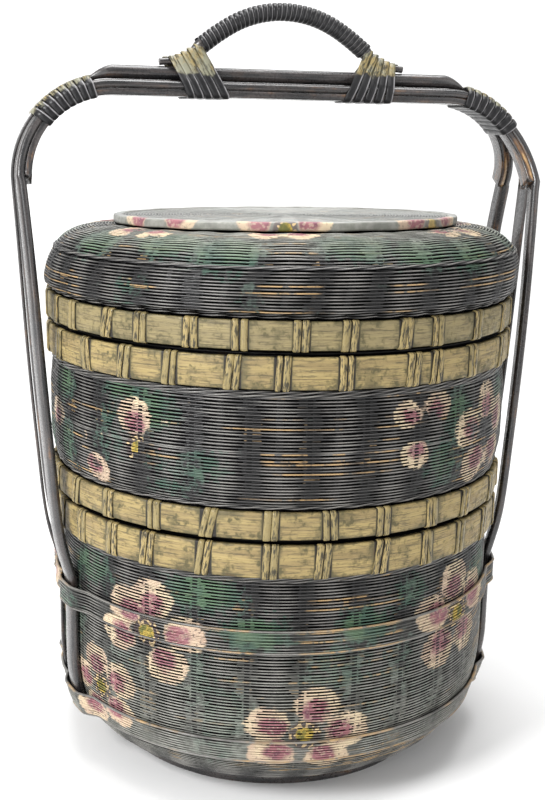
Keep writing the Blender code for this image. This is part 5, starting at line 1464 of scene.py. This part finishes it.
class Handle(bpy.types.Operator):
    """Bend the bows, liners, outer strips and the cane on the bar."""

    bl_idname = "basket.handle"
    bl_label = "Handle"

    def execute(self, context):
        def bow_wear(path):
            rub = np.exp(-((path[:, 0] - 0.155) / 0.02) ** 2 - ((path[:, 2] - 0.385) / 0.03) ** 2)
            return 0.06 + 0.30 * rub + 0.15 * np.exp(-(path[:, 2] - 0.20) ** 2 / 0.0006)

        def liner_wear(path):
            ends = np.clip((np.abs(path[:, 0]) - 0.150) / 0.014, 0, 1)
            return 0.12 + np.where(path[:, 0] > 0, 0.60, 0.14) * ends

        outline = split_outline(BOW_WIDTH, BOW_THICKNESS)
        low = -BOW_THICKNESS / 2 - GAP
        liner = rounded([(-0.0065, low), (-0.0065, low - LINER_THICKNESS),
                         (0.0065, low - LINER_THICKNESS), (0.0065, low)], 0.0011, 3)
        for word, side in (("front", -1), ("rear", 1)):
            points, normals = bow_path(side)
            add_strip(word + "_bow_cane", points, normals, outline, word + "_bow", bow_wear, 90 + side)
            over = points[:, 2] >= SHOULDER_Z - 1e-6
            over &= np.arange(len(points)) >= np.argmax(over)
            add_strip(word + "_liner_cane", points[over], normals[over], liner, word + "_liner",
                      liner_wear, 94 + side)
        flat = rounded([(-0.0070, -0.0010), (0.0070, -0.0010), (0.0070, 0.0010), (-0.0070, 0.0010)],
                       0.0007, 3)
        for word, sign in (("left", -1), ("right", 1)):
            points, normals = strip_path(sign)
            add_strip(word + "_strip_cane", points, normals, flat, word + "_outer_strip", bow_wear, 97 + sign)
        self.lay_rail()
        return {"FINISHED"}

    def lay_rail(self):
        """Round cane along the bar, thinned where it bends over the shoulders."""
        seat = BOW_THICKNESS / 2 + GAP
        x = np.linspace(0, SHOULDER_X, 28)
        angle = np.radians(np.linspace(0, 17, 9)[1:])
        share = np.concatenate([x * 0, np.clip(angle / math.radians(12.75), 0, 1)])
        size = RAIL_RADIUS + (0.0012 - RAIL_RADIUS) * share ** 1.3
        out = np.vstack([np.tile((0.0, 0.0, 1.0), (28, 1)), np.stack([np.sin(angle), angle * 0, np.cos(angle)], -1)])
        centre = np.vstack([np.stack([x, x * 0, x * 0 + BAR_HEIGHT], -1),
                            out[28:] * SHOULDER_RADIUS + (SHOULDER_X, 0, SHOULDER_Z)])
        points = centre + out * (seat + size)[:, None]
        flip = np.array((-1.0, 1.0, 1.0))
        points = np.vstack([points[:0:-1] * flip, points])
        normals = np.vstack([out[:0:-1] * flip, out])
        size = np.concatenate([size[:0:-1], size]) / RAIL_RADIUS
        turn = np.arange(14) * math.tau / 14
        ring = np.stack([np.cos(turn), np.sin(turn)], -1) * RAIL_RADIUS
        grid = carried(points, normals, ring, size)[None]
        add_surface("rail_cane", grid, "base", finish_of("lacquered_bamboo"), length_along(points)[None],
                    outline_run(ring)[None], {"wear": np.full(grid.shape[:3], 0.20)},
                    closed=(False, True), stands_for=("top_rail",))


class Grip(bpy.types.Operator):
    """Wind the grip with flat cane and tie its two feet down."""

    bl_idname = "basket.grip"
    bl_label = "Grip and its ties"

    def execute(self, context):
        sizes = context.scene.basket_sizes
        centre = grip_centre()
        run = length_along(centre)
        share = run / run[-1]
        thick = 1 - np.clip((np.abs(share - 0.5) - 0.335) / 0.05, 0, 1)
        size = 0.0021 + 0.0025 * thick * thick * (3 - 2 * thick)
        turn = np.arange(12) * math.tau / 12
        ring = np.stack([np.cos(turn), np.sin(turn)], -1)
        up = np.tile((0.0, 0.0, 1.0), (len(centre), 1))
        grid = carried(centre, up, ring, size)[None]
        add_surface("grip_bow", grid, "base", finish_of("lacquered_bamboo"), run[None],
                    outline_run(ring * 0.004)[None], {"wear": np.full(grid.shape[:3], 0.25)},
                    closed=(False, True), stands_for=("grip_core",))
        at = np.linspace(0.5 - 0.335, 0.5 + 0.335, sizes.grip_turns * 22 + 1)
        middle = np.stack([np.interp(at, share, centre[:, k]) for k in range(3)], -1)
        along = np.gradient(middle, axis=0)
        along /= np.linalg.norm(along, axis=1)[:, None]
        side = np.array((0.0, 1.0, 0.0))
        rise = np.cross(along, side)
        rise *= np.sign(rise[:, 2:])
        phase = np.arange(len(at)) * math.tau / 22
        out = side * np.sin(phase)[:, None] + rise * np.cos(phase)[:, None]
        path = middle + out * 0.00475
        length = run[-1] * 0.67 / sizes.grip_turns
        add_winding("grip_winding", path, out, length * 0.93, 0.0008, "grip_wrapping",
                    lambda p: np.full(len(p), 0.06), seed=4)
        for word, sign in (("left", -1), ("right", 1)):
            self.tie_foot(word, sign, centre, sizes.tie_turns)
        return {"FINISHED"}

    def tie_foot(self, word, sign, centre, turns):
        """Flat cane round bar, rail and grip foot, slanting as it comes down."""
        edge = BAR_SIDE + BOW_WIDTH / 2 + GAP * 2
        bottom = BAR_HEIGHT - BOW_THICKNESS / 2 - GAP * 2 - LINER_THICKNESS
        flank = BAR_HEIGHT + BOW_THICKNESS * 0.1
        share = np.linspace(0, 1, turns * 40 + 1)
        top_x = 0.0745 - 0.0190 * share
        low_x = (0.0640, 0.0700)[sign > 0] - (0.0270, 0.0340)[sign > 0] * share
        low = ring_reader([(0.0, 0.0), (0.0033, 0.0), (edge, flank - BAR_HEIGHT), (edge, bottom - BAR_HEIGHT),
                           (-edge, bottom - BAR_HEIGHT), (-edge, flank - BAR_HEIGHT), (-0.0033, 0.0)], 0.0012)
        high = ring_reader([(0.0, 1.0), (0.0033, 1.0), (edge, flank - BAR_HEIGHT), (edge, bottom - BAR_HEIGHT),
                            (-edge, bottom - BAR_HEIGHT), (-edge, flank - BAR_HEIGHT), (-0.0033, 1.0)], 0.0012)
        right = centre[centre[:, 0] > 0][::-1]
        order = np.argsort(right[:, 0])
        crest = np.interp(top_x, right[order, 0], right[order, 2]) + 0.0021 + GAP - BAR_HEIGHT
        corners = np.array([(0.0033, 1.0), (edge, flank - BAR_HEIGHT), (edge, bottom - BAR_HEIGHT),
                            (-edge, bottom - BAR_HEIGHT), (-edge, flank - BAR_HEIGHT), (-0.0033, 1.0)])
        place, out = np.zeros((len(share), 2)), np.zeros((len(share), 2))
        for number, level in enumerate(crest):
            shape = corners.copy()
            shape[[0, 5], 1] = level
            spot, facing = ring_reader(shape, 0.0014)(np.array([share[number] * turns]))
            place[number], out[number] = spot[0], facing[0]
        down = np.clip((crest - place[:, 1]) / (crest - bottom + BAR_HEIGHT), 0, 1)
        x = top_x + (low_x - top_x) * down
        path = np.stack([sign * x, place[:, 0], place[:, 1] + BAR_HEIGHT], -1)
        normal = np.stack([out[:, 0] * 0, out[:, 0], out[:, 1]], -1)
        add_winding(word + "_tie_winding", path, normal, (0.0048, 0.0052)[sign > 0], 0.0008, word + "_grip_tie",
                    lambda p: np.clip((p[:, 2] - BAR_HEIGHT) / 0.016, 0.1, 0.9), seed=6 + sign)


class ShoulderLashings(bpy.types.Operator):
    """Wind flat cane round bows, liners and strips on both shoulders."""

    bl_idname = "basket.shoulder_lashings"
    bl_label = "Shoulder lashings"

    def execute(self, context):
        turns = context.scene.basket_sizes.shoulder_turns
        share = np.linspace(0, 1, turns * 40 + 1)
        angle = np.radians(11.0 + 40.0 * share)
        low = -BOW_THICKNESS / 2 - GAP * 2 - LINER_THICKNESS
        top = BOW_THICKNESS / 2 + STRIP_THICKNESS + GAP * 3
        rings = []
        for spread in (BAR_SIDE, BAR_SIDE + 0.010):
            edge = spread + BOW_WIDTH / 2 + GAP * 2
            rings.append(ring_reader([(0.0074, top), (edge, 0.0006), (edge, low), (-edge, low),
                                      (-edge, 0.0006), (-0.0074, top)], 0.0016))
        near, near_out = rings[0](share * turns)
        far, far_out = rings[1](share * turns)
        wide = ((shoulder_spread(angle) - BAR_SIDE) / 0.010)[:, None]
        place = near + (far - near) * wide
        facing = near_out + (far_out - near_out) * wide
        out = np.stack([np.sin(angle), angle * 0, np.cos(angle)], -1)
        width = (SHOULDER_RADIUS * math.radians(40.0)) / turns * 0.93
        for word, sign in (("left", -1), ("right", 1)):
            path = out * (SHOULDER_RADIUS + place[:, 1])[:, None] + (SHOULDER_X, 0, SHOULDER_Z)
            path[:, 1] = place[:, 0]
            normal = out * facing[:, 1:] + np.array((0.0, 1.0, 0.0)) * facing[:, :1]
            flip = np.array((sign, 1.0, 1.0))
            add_winding(word + "_shoulder_winding", path * flip, normal * flip, width, 0.0009,
                        word + "_shoulder_lashing",
                        lambda p: np.clip(1.50 - np.abs(p[:, 1]) / 0.0105, 0.0, 0.85)
                        * (np.hypot(np.abs(p[:, 0]) - SHOULDER_X, p[:, 2] - SHOULDER_Z) > SHOULDER_RADIUS),
                        seed=8 + sign)
        return {"FINISHED"}


class Belts(bpy.types.Operator):
    """Weave the two belts that hold the legs to the lower tier."""

    bl_idname = "basket.belts"
    bl_label = "Belts"

    def execute(self, context):
        profile = offset_profile(lower_profile(), GAP + 0.0013)
        read = height_reader(profile)
        for word, bottom, top in BELTS:
            node = (word + "_belt",)
            start, end = read(bottom), read(top)
            add_weave(word + "_belt_weave", profile, [(start + 0.0012, end - 0.0012)], "base", node,
                      101 + len(word), LOWER_BLOSSOMS, LOWER_LEAVES, half_thickness=0.0004,
                      lift=belt_lift, swing=0.00025, dust_and_sheen=lambda z: 0.15 + 0.58 * np.clip((0.10 - z) / 0.06, 0, 1))
            segments = 720
            angle = np.arange(segments) * math.tau / segments
            radius, height, along_r, along_z = read_profile(profile, np.linspace(start + 0.0006, end - 0.0006, 8))
            lift = belt_lift(angle)[:, None]
            sheets = [np.stack([radius[None] + along_z[None] * (lift + off),
                                height[None] - along_r[None] * (lift + off)], -1) for off in (-0.0012, -0.0008)]
            section = np.concatenate([sheets[0], sheets[1][:, ::-1]], 1)
            grid = np.stack([section[..., 0] * np.cos(angle)[:, None],
                             section[..., 0] * np.sin(angle)[:, None], section[..., 1]], -1)[None]
            u = (np.arange(segments + 1) * math.tau / segments * LOWER_RADIUS)[None]
            v = (np.arange(17) * 0.002)[None]
            # A sheet behind the belt's rows, painted dark as shade in the gaps between them
            add_plain_painted(word + "_belt_shade_sheet", grid, "base", u, v, (True, True), node)
            rims = []
            for place in (start + 0.0005, end - 0.0005):
                r, z, ar, az = (float(part[0]) for part in read_profile(profile, np.array([place])))
                count = 720
                around = np.arange(count) * math.tau / count
                turn = np.arange(8) * math.tau / 8
                off = belt_lift(around)[:, None] + 0.0009 * np.cos(turn)
                up = 0.0005 * np.sin(turn)[None]
                rr = r + az * off + ar * up
                rims.append(np.stack([rr * np.cos(around)[:, None], rr * np.sin(around)[:, None],
                                      z + az * up - ar * off], -1))
            u = np.broadcast_to(np.arange(721) * math.tau / 720 * LOWER_RADIUS, (2, 721))
            v = np.broadcast_to(np.arange(9) * 0.0008, (2, 9))
            add_plain_painted(word + "_belt_rims", np.array(rims), "base", u, v, (True, True), node, painted_light=0.9,
                              strand=0.885)
        return {"FINISHED"}


class Floors(bpy.types.Operator):
    """Give the floors and battens under the tiers their bamboo finish."""

    bl_idname = "basket.floors"
    bl_label = "Floors and battens"

    def execute(self, context):
        for tier in ("lower_tier", "upper_tier"):
            for part, finish in (("floor", "floor_weave"), ("front_batten", "plain_bamboo"),
                                 ("rear_batten", "plain_bamboo")):
                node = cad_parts[tier + "_" + part]
                node.data.materials.clear()
                node.data.materials.append(finish_of(finish))
        return {"FINISHED"}


class Stage(bpy.types.Operator):
    """Set the pale floor, the soft lights and the camera."""

    bl_idname = "basket.stage"
    bl_label = "Stage"

    def execute(self, context):
        x = np.linspace(-2.2, 2.2, 12)
        t = np.linspace(0, 1, 40)
        y = np.where(t < 0.5, -1.6 + t * 5.6, 1.2 + 0.8 * np.sin(np.clip(t - 0.5, 0, 0.25) * math.tau))
        z = np.where(t < 0.5, 0.0, 0.8 * (1 - np.cos(np.clip(t - 0.5, 0, 0.25) * math.tau)))
        z = z + np.clip(t - 0.75, 0, 1) * 6.0
        points = np.stack(np.broadcast_arrays(x[None], y[:, None], z[:, None]), -1).reshape(-1, 3)
        i, j = np.meshgrid(np.arange(39), np.arange(11), indexing="ij")
        quads = np.stack([i * 12 + j, i * 12 + j + 1, (i + 1) * 12 + j + 1, (i + 1) * 12 + j], -1)
        mesh = bpy.data.meshes.new("studio_floor")
        mesh.from_pydata(points.tolist(), [], quads.reshape(-1, 4).tolist())
        mesh.shade_smooth()
        mesh.materials.append(stage_finish())
        floor = bpy.data.objects.new("studio_floor", mesh)
        context.scene.collection.objects.link(floor)
        for name, place, size, power in (("key_light", (-1.9, -0.9, 1.7), 0.9, 66.0),
                                         ("low_light", (-1.2, -1.6, 0.4), 1.2, 16.0),
                                         ("fill_light", (1.6, -1.5, 1.1), 1.8, 12.0),
                                         ("top_light", (0.1, 0.3, 2.1), 1.4, 44.0)):
            light = bpy.data.lights.new(name, "AREA")
            light.energy = power
            light.size = size
            lamp = bpy.data.objects.new(name, light)
            lamp.location = place
            aim = Matrix.Translation(place).to_translation() - Matrix.Translation((0, 0, 0.2)).to_translation()
            lamp.rotation_euler = aim.to_track_quat("Z", "Y").to_euler()
            context.scene.collection.objects.link(lamp)
        world = bpy.data.worlds.new("studio_world")
        world.use_nodes = True
        back = world.node_tree.nodes["Background"]
        back.inputs[0].default_value = (1.0, 1.0, 1.0, 1.0)
        back.inputs[1].default_value = 0.50
        context.scene.world = world
        context.scene.view_settings.view_transform = "Standard"
        self.place_camera(context)
        return {"FINISHED"}

    def place_camera(self, context):
        """Camera from its place, heading from +Y, downward pitch and roll.

        The lens is the sensor's 36 mm times the focal length of 1203.45
        pixels over the 800 pixels of the picture's longer side.
        """
        heading, pitch, roll = 0.2370, 0.2181, 0.0205
        ahead = np.array([math.sin(heading) * math.cos(pitch), math.cos(heading) * math.cos(pitch),
                          -math.sin(pitch)])
        right = np.array([math.cos(heading), -math.sin(heading), 0.0])
        up = np.cross(right, ahead)
        side = math.cos(roll) * right + math.sin(roll) * up
        top = -math.sin(roll) * right + math.cos(roll) * up
        camera = bpy.data.cameras.new("photo_camera")
        camera.sensor_fit = "AUTO"
        camera.sensor_width = 36.0
        camera.lens = 36.0 * 1203.45 / 800.0
        camera.clip_end = 20.0
        holder = bpy.data.objects.new("photo_camera", camera)
        turn = Matrix((side.tolist(), top.tolist(), (-ahead).tolist())).transposed()
        holder.matrix_world = Matrix.Translation((-0.1874, -0.7651, 0.3971)) @ turn.to_4x4()
        context.scene.collection.objects.link(holder)
        context.scene.camera = holder


class BasketPanel(bpy.types.Panel):
    """Lists the sizes, the colours and the steps of the basket."""

    bl_idname = "VIEW3D_PT_basket"
    bl_label = "Tiered basket"
    bl_space_type = "VIEW_3D"
    bl_region_type = "UI"
    bl_category = "Basket"

    def draw(self, context):
        for group in (context.scene.basket_sizes, context.scene.basket_colours):
            for key in group.bl_rna.properties.keys():
                if key not in ("rna_type", "name"):
                    self.layout.prop(group, key)
        for step in STEPS:
            self.layout.operator(step.bl_idname)


STEPS = (LowerTierWeave, UpperTierWeave, LidWeave, Bands, HoopsAndFoot, Handle, Grip,
         ShoulderLashings, Belts, Floors, Stage)


def register():
    for made in (BasketSizes, BasketColours, *STEPS, BasketPanel):
        bpy.utils.register_class(made)
    bpy.types.Scene.basket_sizes = PointerProperty(type=BasketSizes)
    bpy.types.Scene.basket_colours = PointerProperty(type=BasketColours)


def unregister():
    del bpy.types.Scene.basket_colours
    del bpy.types.Scene.basket_sizes
    for made in (BasketPanel, *reversed(STEPS), BasketColours, BasketSizes):
        bpy.utils.unregister_class(made)


def main():
    register()
    for step in STEPS:
        group, name = step.bl_idname.split(".")
        getattr(getattr(bpy.ops, group), name)()


if __name__ == "__main__":
    main()
